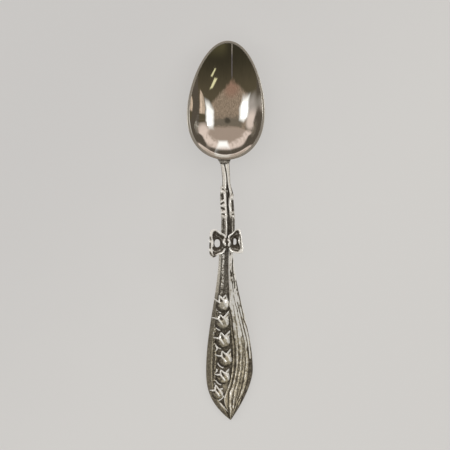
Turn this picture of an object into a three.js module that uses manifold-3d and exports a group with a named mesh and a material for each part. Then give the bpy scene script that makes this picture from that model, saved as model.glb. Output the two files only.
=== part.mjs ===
// A silver teaspoon whose handle is a spray of lily of the valley tied with a ribbon bow.
// Millimetres. +Y runs from the handle to the bowl's tip, +X is to the right from above, +Z is up.
// While it is built, the neck is at Y = 0 and the spoon lies on Z = 0.

import * as THREE from "three";
import Module from "manifold-3d";

const manifold = await Module();
manifold.setup();

const degrees = THREE.MathUtils.degToRad;
const smoothstep = THREE.MathUtils.smoothstep;
const lerp = THREE.MathUtils.lerp;

// Every piece is soldered to its neighbours, and the film of solder is the gap between the solids.
const SOLDER = 0.1;

// Bowl
const BOWL_LENGTH = 40.8;
const BOWL_WIDTH = 26.8;
const BOWL_DEPTH = 6.8;
const BOWL_SHEET = 0.9;
const BOWL_WIDEST_FROM_NECK = 17.1;
const BOWL_DEEPEST_FROM_NECK = 15.2;
const BOWL_WALL_POWER = 2.2;
const BOWL_TIP_TAPER = 1.6;
const BOWL_NECK_FULLNESS = 2.2;
const BOWL_NECK_LIFT = 1.2;
const BOWL_TURN = degrees(-2.15);
const BOWL_OFFSET = -0.8;
const RIM_CROWN = 0.2;
const WORN_FLAT_DEPTH = 0.12;

// Drop: the collar at the neck and its tongue under the bowl
const COLLAR_LENGTH = 1.4;
const COLLAR_WIDTH = 4.6;
const COLLAR_SHIFT = 0.25;
const COLLAR_THICKNESS = 2.6;
const TONGUE_START_REACH = 0.98;
const TONGUE_END_REACH = 0.62;
const TONGUE_THICKNESS = 1.2;
const TONGUE_THIN_FROM = 0.5;
const TONGUE_BITE = 0.35;

// Arch of the handle, measured along its back
const HANDLE_LENGTH = 89.2;
const ARCH_HEIGHT = 10.5;
const ARCH_PEAK_FROM_NECK = 28;
const FOOT_FROM_NECK = 74;

// Stem: a plain bar at the back, and two stalks on it whose axes run this far above the back
const STEM_BAR = 1.1;
const STEM_BAR_INSET = 0.15;
const STALK_RISE = 1.45;
const STALK_UNDER_RIM = 0.55;
const LEFT_STALK_NECK_RADIUS = 0.6;
const LEFT_STALK_RADIUS = 0.8;
const RIGHT_STALK_NECK_RADIUS = 0.85;
const RIGHT_STALK_RADIUS = 0.5;
const STALK_TAPER_END = 7;
const ROOT_FROM_NECK = 30;
const LEFT_STALK_SWAY = [
  [0, -1.6],
  [7, -0.65],
  [13, -1.0],
  [20, -0.55],
  [30, -1.0],
];

// Sheaths around the stalks
const LEFT_SHEATH_WALL = 0.3;
const LEFT_SHEATH_START = 9.6;
const RIGHT_SHEATH_WALL = 0.35;
const RIGHT_SHEATH_START = 12.2;
const SHEATH_END = 26.4;
const SHEATH_SLANT = 0.9;
const BEAD_RISE = 0.2;
const BEAD_WIDTH = 0.8;
const BEAD_FIRST = 14.0;
const BEAD_PITCH = 1.8;
const BEAD_COUNT = 4;
const POD_HOLLOW = 0.2;
const LEFT_POD_CENTRE = 12.5;
const LEFT_POD_LENGTH = 1.8;
const RIGHT_POD_CENTRE = 15.5;
const RIGHT_POD_LENGTH = 3.0;
const FLUTE_DEPTH = 0.16;
const FLUTES_FROM = 20.2;

// Bow
const BOW_FROM_NECK = 28.4;
const BOW_DEPTH = 1.7;
const BOW_KNOT_DEPTH = 0.5;
const RIBBON = 0.45;
const RIBBON_TURN = 1.2;
const RIBBON_TURN_START = 0.75;
const KNOT_WIDTH = 2.9;
const KNOT_LENGTH = 3.6;
const KNOT_HEIGHT = 2.5;
const KNOT_SINK = 0.7;
const KNOT_CREASE = 0.35;
const KNOT_CREASE_WIDTH = 0.3;
const KNOT_END_ANGLE = degrees(7);
const LEFT_LOOP = {
  edge: [[-0.2, 2.1], [-2.2, 3.3], [-4.0, 4.4], [-5.5, 3.7], [-5.75, 0.4], [-5.75, -3.4],
    [-4.7, -4.85], [-3.2, -4.2], [-0.6, -2.7]],
  hole: [-3.15, 0],
  holeHalf: [0.95, 1.35],
};
const RIGHT_LOOP = {
  edge: [[0.6, 2.0], [2.0, 3.2], [3.6, 4.6], [4.7, 4.1], [5.2, 1.5], [5.65, -2.1], [5.4, -3.3],
    [3.1, -3.4], [1.0, -2.1]],
  hole: [2.75, 0.55],
  holeHalf: [0.6, 1.05],
};

// Leaves: half-widths are measured from the handle's axis
const LEAF_SHEET = 0.9;
const LEAF_ROOT_LEFT = 2.5;
const LEAF_WIDE_LEFT = 7.0;
const LEAF_ROOT_RIGHT = 2.2;
const LEAF_WIDE_RIGHT = 9.05;
const LEAF_WIDEST_FROM_NECK = 72;
const LEAF_TIP_OFFSET = 1.4;
const LEAF_TIP_LEFT_FULLNESS = 2.7;
const LEAF_TIP_RIGHT_FULLNESS = 1.6;
const LEAF_TIP_HALF_WIDTH = 0.15;
const MARGIN_ROOT_WIDTH = 0.9;
const MARGIN_WIDTH = 1.9;
const MARGIN_RISE = 0.6;
const MARGIN_TIP_SHARE = 0.3;
const FOLD_ROOT = 0.75;
const FOLD_WIDE = 3.05;
const FOLD_WIDE_FROM_NECK = 67.5;
const FOLD_CURL = -0.85;
const FOLD_CURL_FROM_NECK = 82.5;
const VEIN_COUNT = 6;
const VEIN_RISE = 0.22;
const LEAF_CROWN = 0.45;

// Flowers: each seat is the bell's place from the axis and from the neck
const FLOWER_STALK_RADIUS = 0.42;
const FLOWER_STALK_ROUTE = [
  [-1.05, 31],
  [-1.2, 38],
  [-1.7, 44.5],
  [-2.6, 49.5],
  [-3.5, 55.1],
  [-4.2, 61.7],
  [-3.7, 68.3],
  [-4.1, 74.1],
  [-4.4, 80.5],
];
const BELL_SEATS = [
  [-1.5, 49.5],
  [-1.7, 55.1],
  [-1.3, 61.7],
  [-0.5, 68.3],
  [-1.3, 74.1],
  [-3.2, 80.2],
];
const BELL_RADIUS = 2.45;
const BELL_BODY_LENGTH = 3.8;
const BELL_BASE = -2.6;
const BELL_BASE_ANGLE = degrees(14);
const BELL_MOUTH_ANGLE = degrees(108);
const BELL_FULLNESS = 0.8;
const BELL_RELIEF = 0.62;
const BELL_LEANS = [12, 8, 8, 9, 15, 18];
const LAST_BELL_SCALE = 0.85;
const PETAL_COUNT = 6;
const PETAL_LENGTH = 1.5;
const PETAL_FLARE = 1.0;
const PETAL_THICKNESS = 0.35;
const BELL_MOUTH_DEPTH = 0.9;
const PEDICEL_RADIUS = 0.28;
const PEDICEL_FROM = degrees(203);
const PEDICEL_TO = degrees(262);

// How finely the round forms are drawn
const BOWL_SIDES = 40;
const BOWL_BANDS = 7;
const BOWL_FIRST_BAND = 0.06;
const DROP_SIDES = 20;
const TONGUE_STEPS = 6;
const TUBE_SIDES = 8;
const STALK_STEPS = 16;
const BAR_SIDES = 6;
const SHEATH_SIDES = 16;
const SHEATH_STEPS = 24;
const SHEATH_BORE_STEPS = 6;
const LOOP_STEPS = 30;
const KNOT_SIDES = 20;
const KNOT_BANDS = 8;
const LEAF_STEPS = 27;
const LEAF_TIP_CROWDING = 1.35;
const MARGIN_SIDES = 6;
const VEIN_SAMPLES = 4;
const FLOWER_STALK_STEPS = 20;
const BELL_SIDES = 24;
const BELL_BANDS = 5;
const PEDICEL_STEPS = 6;

// A closed solid through rings of points that all have the same count; open ends get a fan of triangles.
function loft(rings, isLoop = false) {
  const count = rings[0].length;
  const points = rings.flat();
  const faces = [];
  const bands = isLoop ? rings.length : rings.length - 1;
  for (let band = 0; band < bands; band += 1) {
    const here = band * count;
    const next = ((band + 1) % rings.length) * count;
    for (let i = 0; i < count; i += 1) {
      const j = (i + 1) % count;
      faces.push(here + i, here + j, next + j, here + i, next + j, next + i);
    }
  }
  if (!isLoop) {
    const last = points.length - count;
    const firstCentre = points.push(centreOf(rings[0])) - 1;
    const lastCentre = points.push(centreOf(rings[rings.length - 1])) - 1;
    for (let i = 0; i < count; i += 1) {
      const j = (i + 1) % count;
      faces.push(firstCentre, j, i, lastCentre, last + i, last + j);
    }
  }
  const geometry = new THREE.BufferGeometry().setFromPoints(points);
  geometry.setIndex(isInsideOut(points, faces) ? faces.reverse() : faces);
  return geometry;
}

function centreOf(ring) {
  const sum = new THREE.Vector3();
  ring.forEach((point) => sum.add(point));
  return sum.divideScalar(ring.length);
}

function isInsideOut(points, faces) {
  let volume = 0;
  const cross = new THREE.Vector3();
  for (let i = 0; i < faces.length; i += 3) {
    cross.crossVectors(points[faces[i + 1]], points[faces[i + 2]]);
    volume += points[faces[i]].dot(cross);
  }
  return volume < 0;
}

function range(count) {
  return Array.from({ length: count }, (unused, i) => i);
}

function turn(i, sides) {
  return (2 * Math.PI * i) / sides;
}

// One ring around a path, where radiusAt gives the radius at each angle; angle 0 points to +X.
function ringAround(path, along, sides, radiusAt, shiftAt = () => 0) {
  const tangent = path.getTangent(along);
  const side = new THREE.Vector3(0, 0, 1).cross(tangent).normalize();
  const up = new THREE.Vector3().crossVectors(tangent, side);
  const centre = path.getPoint(along);
  return range(sides).map((i) => {
    const angle = turn(i, sides);
    const radius = radiusAt(angle);
    return centre.clone()
      .addScaledVector(side, radius * Math.cos(angle))
      .addScaledVector(up, radius * Math.sin(angle))
      .addScaledVector(tangent, shiftAt(angle));
  });
}

function tube(path, steps, radiusAt) {
  const rings = range(steps + 1).map((step) => {
    const along = step / steps;
    return ringAround(path, along, TUBE_SIDES, () => radiusAt(along));
  });
  return loft(rings);
}

// A smooth run of values through stations given as [place, value]
function smoothRun(stations) {
  const places = stations.map(([place]) => place);
  const values = stations.map(([, value]) => value);
  const run = new THREE.CubicInterpolant(places, values, 1);
  return (place) => run.evaluate(place)[0];
}

// Solids for cutting, and back again
function solidOf(geometry) {
  const mesh = new manifold.Mesh({
    numProp: 3,
    vertProperties: Float32Array.from(geometry.attributes.position.array),
    triVerts: Uint32Array.from(geometry.index.array),
  });
  mesh.merge();
  return new manifold.Manifold(mesh);
}

function geometryOf(solid) {
  const mesh = solid.getMesh();
  const geometry = new THREE.BufferGeometry();
  geometry.setAttribute("position", new THREE.BufferAttribute(mesh.vertProperties, 3));
  geometry.setIndex(new THREE.BufferAttribute(mesh.triVerts, 1));
  return geometry;
}

// What is left of a piece after its neighbours, each grown by the solder, are cut from it
function fitted(geometry, ...neighbours) {
  const whole = neighbours.reduce((rest, cutter) => rest.subtract(cutter), solidOf(geometry));
  const bodies = whole.decompose().sort((a, b) => b.volume() - a.volume());
  return geometryOf(bodies[0]);
}

function piece(name, geometry, finish) {
  const material = new THREE.MeshStandardMaterial({ ...finish, metalness: 1 });
  const mesh = new THREE.Mesh(geometry, material);
  mesh.name = name;
  return mesh;
}

const POLISHED = { color: 0xcfc8be, roughness: 0.1 };
const WORN = { color: 0xa9a298, roughness: 0.25 };
const OXIDISED = { color: 0x6f6a62, roughness: 0.3 };

// Bowl: an egg in plan, worked out from the middle (reach 0) to the rim (reach 1)
function bowlPoint(grow, reach, angle) {
  const across = Math.cos(angle);
  const along = Math.sin(angle);
  const isTipSide = along > 0;
  const acrossPower = isTipSide ? 1 : 2 / BOWL_NECK_FULLNESS;
  const alongPower = isTipSide ? 2 / BOWL_TIP_TAPER : 2 / BOWL_NECK_FULLNESS;
  const length = isTipSide ? BOWL_LENGTH - BOWL_WIDEST_FROM_NECK : BOWL_WIDEST_FROM_NECK;
  const middle = lerp(BOWL_DEEPEST_FROM_NECK, BOWL_WIDEST_FROM_NECK, reach * reach);
  const x = reach * (BOWL_WIDTH / 2 + grow) * Math.sign(across) * Math.abs(across) ** acrossPower;
  const y = middle + reach * (length + grow) * Math.sign(along) * Math.abs(along) ** alongPower;
  const depth = (BOWL_DEPTH + BOWL_SHEET + grow) * (1 - reach ** BOWL_WALL_POWER);
  return new THREE.Vector3(x, y, neckLift(y) - depth);
}

function neckLift(y) {
  return BOWL_NECK_LIFT * Math.max(0, 1 - y / BOWL_LENGTH) ** 2;
}

function bowlRing(grow, reach, rise = 0) {
  return range(BOWL_SIDES).map((i) => {
    const point = bowlPoint(grow, reach, turn(i, BOWL_SIDES));
    point.z += rise;
    return point;
  });
}

// Reaches from the middle ring to the rim, closer together near the rim
function bowlReaches() {
  return range(BOWL_BANDS + 1).map((band) => {
    return Math.sin((Math.PI / 2) * lerp(BOWL_FIRST_BAND, 1, band / BOWL_BANDS));
  });
}

function bowlShell() {
  const inside = bowlReaches().map((reach) => bowlRing(-BOWL_SHEET, reach));
  const crown = bowlRing(-BOWL_SHEET / 2, 1, RIM_CROWN);
  const outside = bowlReaches().reverse().map((reach) => bowlRing(0, reach));
  return loft([...inside, crown, ...outside]);
}

// The bowl filled to above its rim, grown by the solder, for cutting what is soldered to its back
function bowlClearance() {
  const outside = bowlReaches().map((reach) => bowlRing(SOLDER, reach));
  const lid = bowlRing(SOLDER, 1, BOWL_DEPTH);
  return solidOf(loft([...outside, lid]));
}

const bowlFrame = new THREE.Group();
const bowlBack = bowlReaches().flatMap((reach) => bowlRing(0, reach));
const bowlFloor = Math.min(...bowlBack.map((point) => point.z));
const bowlRise = -bowlFloor - WORN_FLAT_DEPTH;
bowlFrame.position.set(BOWL_OFFSET, 0, bowlRise);
bowlFrame.rotation.z = BOWL_TURN;
bowlFrame.updateMatrix();

function bowl() {
  const below = new THREE.BoxGeometry(BOWL_WIDTH, BOWL_WIDTH, BOWL_SHEET);
  below.translate(0, BOWL_DEEPEST_FROM_NECK, -bowlRise - BOWL_SHEET / 2);
  return piece("bowl", fitted(bowlShell(), solidOf(below)), POLISHED);
}

// Back of the handle: it rises from the neck, peaks under the bow and comes down to a flat foot.
const neckRim = bowlRise + BOWL_NECK_LIFT;
const neckBack = neckRim - STALK_UNDER_RIM - RIGHT_STALK_NECK_RADIUS - STALK_RISE;

function handleBack(from) {
  if (from < ARCH_PEAK_FROM_NECK) {
    return ARCH_HEIGHT - (ARCH_HEIGHT - neckBack) * (1 - from / ARCH_PEAK_FROM_NECK) ** 2;
  }
  const fall = Math.min(1, (from - ARCH_PEAK_FROM_NECK) / (FOOT_FROM_NECK - ARCH_PEAK_FROM_NECK));
  return (ARCH_HEIGHT * (1 + Math.cos(Math.PI * fall))) / 2;
}

function handleSlope(from) {
  const step = 0.01;
  return Math.atan2(handleBack(from - step) - handleBack(from + step), 2 * step);
}

// Drop: a tongue that follows the bowl's back and flares into the collar at the neck
function dropGeometry(grow) {
  const neckAngle = -Math.PI / 2;
  const collarHeight = handleBack(COLLAR_LENGTH) + COLLAR_THICKNESS / 2 - bowlRise;
  const stalkHalfWidth = LEFT_STALK_NECK_RADIUS + RIGHT_STALK_NECK_RADIUS + SOLDER;
  const collarEnd = new THREE.Vector3(COLLAR_SHIFT, -COLLAR_LENGTH - grow, collarHeight);
  const collarMiddle = new THREE.Vector3(COLLAR_SHIFT, -COLLAR_LENGTH / 2, collarHeight);
  const sections = [
    [collarEnd, stalkHalfWidth, COLLAR_THICKNESS],
    [collarMiddle, stalkHalfWidth, COLLAR_THICKNESS],
  ];
  range(TONGUE_STEPS).forEach((step) => {
    const along = step / TONGUE_STEPS;
    const centre = bowlPoint(0, lerp(TONGUE_START_REACH, TONGUE_END_REACH, along), neckAngle);
    const halfWidth = (COLLAR_WIDTH / 2) * Math.sqrt(1 - along * along);
    const thickness = lerp(COLLAR_THICKNESS, TONGUE_THICKNESS, smoothstep(along, 0, TONGUE_THIN_FROM));
    centre.z -= thickness / 2 - TONGUE_BITE;
    sections.push([centre, halfWidth, thickness]);
  });
  const rings = sections.map(([centre, halfWidth, thickness]) => range(DROP_SIDES).map((i) => {
    const angle = turn(i, DROP_SIDES);
    const sideways = (halfWidth + grow) * Math.cos(angle);
    return centre.clone().add(new THREE.Vector3(sideways, 0, (thickness / 2 + grow) * Math.sin(angle)));
  }));
  return loft(rings);
}

function neckDrop() {
  return piece("neck_drop", fitted(dropGeometry(0), bowlClearance()), WORN);
}

// Stalks: the right one lies a film of solder from the left one, sheaths included
const LEFT_SHEATH_RADIUS = LEFT_STALK_RADIUS + SOLDER + LEFT_SHEATH_WALL;
const RIGHT_SHEATH_RADIUS = RIGHT_STALK_RADIUS + SOLDER + RIGHT_SHEATH_WALL;
const stalkLength = ROOT_FROM_NECK - SOLDER;
const leftStalkX = smoothRun(LEFT_STALK_SWAY);

function leftStalkRadius(from) {
  return lerp(LEFT_STALK_NECK_RADIUS, LEFT_STALK_RADIUS, smoothstep(from, 0, STALK_TAPER_END));
}

function rightStalkRadius(from) {
  return lerp(RIGHT_STALK_NECK_RADIUS, RIGHT_STALK_RADIUS, smoothstep(from, 0, STALK_TAPER_END));
}

function sheathing(from) {
  return smoothstep(from, STALK_TAPER_END, RIGHT_SHEATH_START);
}

function rightStalkX(from) {
  const bare = leftStalkRadius(from) + rightStalkRadius(from);
  const sheathed = LEFT_SHEATH_RADIUS + BEAD_RISE + RIGHT_SHEATH_RADIUS;
  return leftStalkX(from) + SOLDER + lerp(bare, sheathed, sheathing(from));
}

function handlePoint(x, from, rise) {
  return new THREE.Vector3(x, -from, handleBack(from) + rise);
}

function stalkPath(xAt) {
  const points = range(STALK_STEPS + 1).map((step) => {
    const from = (stalkLength * step) / STALK_STEPS;
    return handlePoint(xAt(from), from, STALK_RISE);
  });
  return new THREE.CatmullRomCurve3(points);
}

const leftPath = stalkPath(leftStalkX);
const rightPath = stalkPath(rightStalkX);

function stalkGeometry(path, radiusAt) {
  return tube(path, STALK_STEPS, (along) => radiusAt(along * stalkLength));
}

// The bar behind the stalks, flat where they lie on it and round at its back
function stemBarGeometry(grow) {
  const inset = STEM_BAR_INSET - grow;
  const rings = range(STALK_STEPS + 1).map((step) => {
    const from = (stalkLength * step) / STALK_STEPS;
    const leftRadius = lerp(leftStalkRadius(from), LEFT_SHEATH_RADIUS, sheathing(from));
    const rightRadius = lerp(rightStalkRadius(from), RIGHT_SHEATH_RADIUS, sheathing(from));
    const left = leftStalkX(from) - leftRadius + inset;
    const right = rightStalkX(from) + rightRadius - inset;
    const outline = [[right, STEM_BAR + grow], [left, STEM_BAR + grow]];
    range(BAR_SIDES + 1).forEach((side) => {
      const angle = Math.PI * (1 + side / BAR_SIDES);
      const x = lerp(left, right, (1 + Math.cos(angle)) / 2);
      outline.push([x, (STEM_BAR / 2) * (1 + Math.sin(angle)) - grow]);
    });
    return outline.map(([x, rise]) => handlePoint(x, from, rise));
  });
  return loft(rings);
}

function stem() {
  const collar = solidOf(dropGeometry(SOLDER)).transform(bowlFrame.matrix.elements);
  const bowlSpace = bowlClearance().transform(bowlFrame.matrix.elements);
  const bar = solidOf(stemBarGeometry(SOLDER));
  const left = fitted(stalkGeometry(leftPath, leftStalkRadius), collar, bowlSpace, bar);
  const right = fitted(stalkGeometry(rightPath, rightStalkRadius), collar, bowlSpace, bar);
  return [
    piece("stem_bar", fitted(stemBarGeometry(0), collar, bowlSpace), WORN),
    piece("left_stalk", left, POLISHED),
    piece("right_stalk", right, POLISHED),
  ];
}

// A sheath is a sleeve on its stalk, and skinAt gives its outer radius at each place and angle.
function sheathGeometry(path, start, outward, bore, skinAt) {
  const ring = (from, radiusAt) => {
    const slant = SHEATH_SLANT * outward * (1 - smoothstep(from, start, start + 2 * SHEATH_SLANT));
    const shiftAt = (angle) => -slant * Math.cos(angle);
    return ringAround(path, from / stalkLength, SHEATH_SIDES, radiusAt, shiftAt);
  };
  const outside = range(SHEATH_STEPS + 1).map((step) => {
    const from = lerp(start, SHEATH_END, step / SHEATH_STEPS);
    return ring(from, (angle) => skinAt(from, angle));
  });
  const inside = range(SHEATH_BORE_STEPS + 1).map((step) => {
    const from = lerp(SHEATH_END, start, step / SHEATH_BORE_STEPS);
    return ring(from, () => bore);
  });
  return loft([...outside, ...inside], true);
}

function bump(from, centre, length) {
  return Math.exp(-(((from - centre) / (length / 2)) ** 2));
}

function flutes(from, angle) {
  const depth = FLUTE_DEPTH * smoothstep(from, FLUTES_FROM, FLUTES_FROM + 1);
  return (depth * (Math.cos((SHEATH_SIDES / 2) * angle) - 1)) / 2;
}

function leftSheathSkin(from, angle) {
  const beads = range(BEAD_COUNT).map((bead) => bump(from, BEAD_FIRST + bead * BEAD_PITCH, BEAD_WIDTH));
  const pod = bump(from, LEFT_POD_CENTRE, LEFT_POD_LENGTH) * Math.max(0, Math.sin(angle));
  const rise = BEAD_RISE * Math.max(...beads) - POD_HOLLOW * pod;
  return LEFT_SHEATH_RADIUS + rise + flutes(from, angle);
}

function rightSheathSkin(from, angle) {
  const pod = bump(from, RIGHT_POD_CENTRE, RIGHT_POD_LENGTH) * Math.max(0, Math.sin(angle));
  return RIGHT_SHEATH_RADIUS - POD_HOLLOW * pod + flutes(from, angle);
}

function sheaths() {
  const bar = solidOf(stemBarGeometry(SOLDER));
  const leftBore = LEFT_STALK_RADIUS + SOLDER;
  const rightBore = RIGHT_STALK_RADIUS + SOLDER;
  const left = sheathGeometry(leftPath, LEFT_SHEATH_START, -1, leftBore, leftSheathSkin);
  const right = sheathGeometry(rightPath, RIGHT_SHEATH_START, 1, rightBore, rightSheathSkin);
  return [
    piece("left_sheath", fitted(left, bar), WORN),
    piece("right_sheath", fitted(right, bar), WORN),
  ];
}

// Outline of the leaves
function leafEdge(from, root, wide, fullness, side) {
  if (from < LEAF_WIDEST_FROM_NECK) {
    return side * lerp(root, wide, smoothstep(from, ROOT_FROM_NECK, LEAF_WIDEST_FROM_NECK));
  }
  const fromTip = (HANDLE_LENGTH - from) / (HANDLE_LENGTH - LEAF_WIDEST_FROM_NECK);
  const tip = LEAF_TIP_OFFSET + side * LEAF_TIP_HALF_WIDTH;
  return lerp(tip, side * wide, 1 - (1 - fromTip) ** fullness);
}

function leafLeft(from) {
  return leafEdge(from, LEAF_ROOT_LEFT, LEAF_WIDE_LEFT, LEAF_TIP_LEFT_FULLNESS, -1);
}

function leafRight(from) {
  return leafEdge(from, LEAF_ROOT_RIGHT, LEAF_WIDE_RIGHT, LEAF_TIP_RIGHT_FULLNESS, 1);
}

// Left edge of the front leaf: it bellies to the right, curls back to the left and runs out at the tip.
function foldEdge(from) {
  const belly = lerp(FOLD_ROOT, FOLD_WIDE, smoothstep(from, ROOT_FROM_NECK, FOLD_WIDE_FROM_NECK));
  const curl = lerp(belly, FOLD_CURL, smoothstep(from, FOLD_WIDE_FROM_NECK, FOLD_CURL_FROM_NECK));
  const tip = LEAF_TIP_OFFSET - LEAF_TIP_HALF_WIDTH;
  return lerp(curl, tip, smoothstep(from, FOLD_CURL_FROM_NECK, HANDLE_LENGTH));
}

// Stations along the leaves, closer together towards the tip
function leafStations() {
  return range(LEAF_STEPS + 1).map((step) => {
    const toGo = (1 - step / LEAF_STEPS) ** LEAF_TIP_CROWDING;
    return lerp(HANDLE_LENGTH, ROOT_FROM_NECK, toGo);
  });
}

// Back leaf: a flat sheet with a rolled margin on its left
function marginWidth(from) {
  const widening = smoothstep(from, ROOT_FROM_NECK, LEAF_WIDEST_FROM_NECK);
  const wanted = lerp(MARGIN_ROOT_WIDTH, MARGIN_WIDTH, widening);
  return Math.min(wanted, MARGIN_TIP_SHARE * (leafRight(from) - leafLeft(from)));
}

function marginRise(from) {
  const rootFade = smoothstep(from, ROOT_FROM_NECK, ROOT_FROM_NECK + MARGIN_WIDTH);
  const tipFade = 1 - smoothstep(from, HANDLE_LENGTH - 2 * MARGIN_WIDTH, HANDLE_LENGTH);
  return MARGIN_RISE * rootFade * tipFade;
}

function backLeafGeometry(grow, below) {
  const rings = leafStations().map((from) => {
    const left = leafLeft(from) - grow;
    const right = leafRight(from) + grow;
    const margin = marginWidth(from) + 2 * grow;
    const top = LEAF_SHEET + grow;
    const roll = marginRise(from);
    const outline = [[left, -below], [right, -below], [right, top], [left + margin, top]];
    range(MARGIN_SIDES).forEach((side) => {
      const angle = (Math.PI * (side + 1)) / MARGIN_SIDES;
      outline.push([left + (margin / 2) * (1 + Math.cos(angle)), top + roll * Math.sin(angle)]);
    });
    return outline.map(([x, rise]) => handlePoint(x, from, rise));
  });
  return loft(rings);
}

// The back leaf grown by the solder, and deep enough below to cut off all that hangs under it
function backLeafClearance() {
  return solidOf(backLeafGeometry(SOLDER, BELL_RADIUS));
}

// Front leaf: veins run its length side by side, and it lies on the back leaf
function frontLeafGeometry(grow) {
  const samples = VEIN_COUNT * VEIN_SAMPLES;
  const bottom = LEAF_SHEET + SOLDER - grow;
  const rings = leafStations().map((from) => {
    const left = foldEdge(from) - grow;
    const right = leafRight(from) + grow;
    const swell = smoothstep(right - left, 0, FOLD_WIDE);
    const outline = [[left, bottom], [right, bottom]];
    range(samples + 1).forEach((sample) => {
      const across = sample / samples;
      const vein = (VEIN_RISE * (1 - Math.cos(2 * Math.PI * VEIN_COUNT * across))) / 2;
      const crown = LEAF_CROWN * Math.sin(Math.PI * across);
      outline.push([lerp(right, left, across), bottom + LEAF_SHEET + 2 * grow + swell * (vein + crown)]);
    });
    return outline.map(([x, rise]) => handlePoint(x, from, rise));
  });
  return loft(rings);
}

function leaves() {
  return [
    piece("left_leaf", backLeafGeometry(0, 0), OXIDISED),
    piece("right_leaf", frontLeafGeometry(0), WORN),
  ];
}

// Bow: each loop is a ribbon that flares from a small hole at its back to a wide edge at its front
const bowFrame = new THREE.Group();
const stemTop = STALK_RISE + LEFT_SHEATH_RADIUS;
const loopReach = (edge) => Math.max(...edge.map(([x]) => Math.abs(x)));
bowFrame.position.copy(handlePoint(0, BOW_FROM_NECK, stemTop + SOLDER));
bowFrame.updateMatrix();
const intoBow = bowFrame.matrix.clone().invert();

function loopGeometry({ edge, hole, holeHalf }) {
  const curve = new THREE.CatmullRomCurve3(edge.map(([x, y]) => new THREE.Vector3(x, y, 0)), true);
  const centre = new THREE.Vector3(hole[0], hole[1], 0);
  const rings = range(LOOP_STEPS).map((step) => {
    const front = curve.getPoint(step / LOOP_STEPS);
    const inward = centre.clone().sub(front).normalize();
    front.z = lerp(BOW_KNOT_DEPTH, BOW_DEPTH, smoothstep(Math.abs(front.x), 0, KNOT_WIDTH));
    const holeEdge = centre.clone();
    holeEdge.x -= holeHalf[0] * inward.x;
    holeEdge.y -= holeHalf[1] * inward.y;
    const turned = smoothstep(Math.abs(front.x) / loopReach(edge), RIBBON_TURN_START, 1);
    const frontInside = front.clone().addScaledVector(inward, lerp(RIBBON, RIBBON_TURN, turned));
    const holeOutside = holeEdge.clone().addScaledVector(inward, -RIBBON);
    return [holeOutside, front, frontInside, holeEdge];
  });
  return loft(rings, true);
}

function knotGeometry(grow) {
  const middle = KNOT_HEIGHT / 2 - KNOT_SINK;
  const rings = range(KNOT_BANDS + 1).map((band) => {
    const angle = lerp(KNOT_END_ANGLE, Math.PI - KNOT_END_ANGLE, band / KNOT_BANDS);
    const waist = Math.sqrt(Math.sin(angle));
    const y = (KNOT_LENGTH / 2 + grow) * Math.cos(angle);
    return range(KNOT_SIDES).map((i) => {
      const around = turn(i, KNOT_SIDES);
      const x = (KNOT_WIDTH / 2 + grow) * waist * Math.cos(around);
      const isTop = Math.sin(around) > 0 && grow === 0;
      const crease = isTop ? KNOT_CREASE * waist * Math.exp(-((x / KNOT_CREASE_WIDTH) ** 2)) : 0;
      const z = middle + (KNOT_HEIGHT / 2 + grow) * waist * Math.sin(around) - crease;
      return new THREE.Vector3(x, y, z);
    });
  });
  return loft(rings);
}

function bow() {
  const inBow = (solid) => solid.transform(intoBow.elements);
  const stems = [
    solidOf(tube(leftPath, STALK_STEPS, () => LEFT_STALK_RADIUS + SOLDER)),
    solidOf(tube(rightPath, STALK_STEPS, () => RIGHT_STALK_RADIUS + SOLDER)),
    backLeafClearance(),
    solidOf(frontLeafGeometry(SOLDER)),
  ].map(inBow);
  const knotSpace = solidOf(knotGeometry(SOLDER));
  return [
    piece("bow_knot", fitted(knotGeometry(0), ...stems), WORN),
    piece("bow_left_loop", fitted(loopGeometry(LEFT_LOOP), knotSpace), WORN),
    piece("bow_right_loop", fitted(loopGeometry(RIGHT_LOOP), knotSpace), WORN),
  ];
}

// Flower stalk: half a round wire, lying in the channel between margin and fold
const flowerPath = new THREE.CatmullRomCurve3(
  FLOWER_STALK_ROUTE.map(([x, from]) => handlePoint(x, from, LEAF_SHEET + SOLDER)),
);

function flowerStalkGeometry(grow) {
  return tube(flowerPath, FLOWER_STALK_STEPS, () => FLOWER_STALK_RADIUS + grow);
}

function flowerStalk() {
  return piece("flower_stalk", fitted(flowerStalkGeometry(0), backLeafClearance()), WORN);
}

// Bells lie on their sides with their mouths to the bowl, cut off flat where they meet the leaf.
function petalAt(angle) {
  return (1 + Math.cos(PETAL_COUNT * (angle - Math.PI / 2))) / 2;
}

function bellRing(y, radius, petal, flare) {
  return range(BELL_SIDES).map((i) => {
    const angle = turn(i, BELL_SIDES);
    const lobe = petalAt(angle);
    const x = (radius + flare * lobe * Math.abs(Math.cos(angle))) * Math.cos(angle);
    return new THREE.Vector3(x, y + petal * lobe, BELL_RELIEF * radius * Math.sin(angle));
  });
}

function bellProfile(along) {
  return BELL_RADIUS * Math.sin(lerp(BELL_BASE_ANGLE, BELL_MOUTH_ANGLE, along)) ** BELL_FULLNESS;
}

function bellGeometry(grow) {
  const rings = range(BELL_BANDS + 1).map((band) => {
    const along = band / BELL_BANDS;
    return bellRing(BELL_BASE - grow + along * BELL_BODY_LENGTH, bellProfile(along) + grow, 0, 0);
  });
  const rim = BELL_BASE + BELL_BODY_LENGTH;
  const mouth = bellProfile(1) + grow;
  rings.push(bellRing(rim + PETAL_THICKNESS, mouth, PETAL_LENGTH - PETAL_THICKNESS, PETAL_FLARE));
  rings.push(bellRing(rim, mouth - PETAL_THICKNESS, PETAL_LENGTH - PETAL_THICKNESS, PETAL_FLARE));
  rings.push(bellRing(rim - BELL_MOUTH_DEPTH, (mouth - PETAL_THICKNESS) / 2, 0, 0));
  return loft(rings);
}

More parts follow.
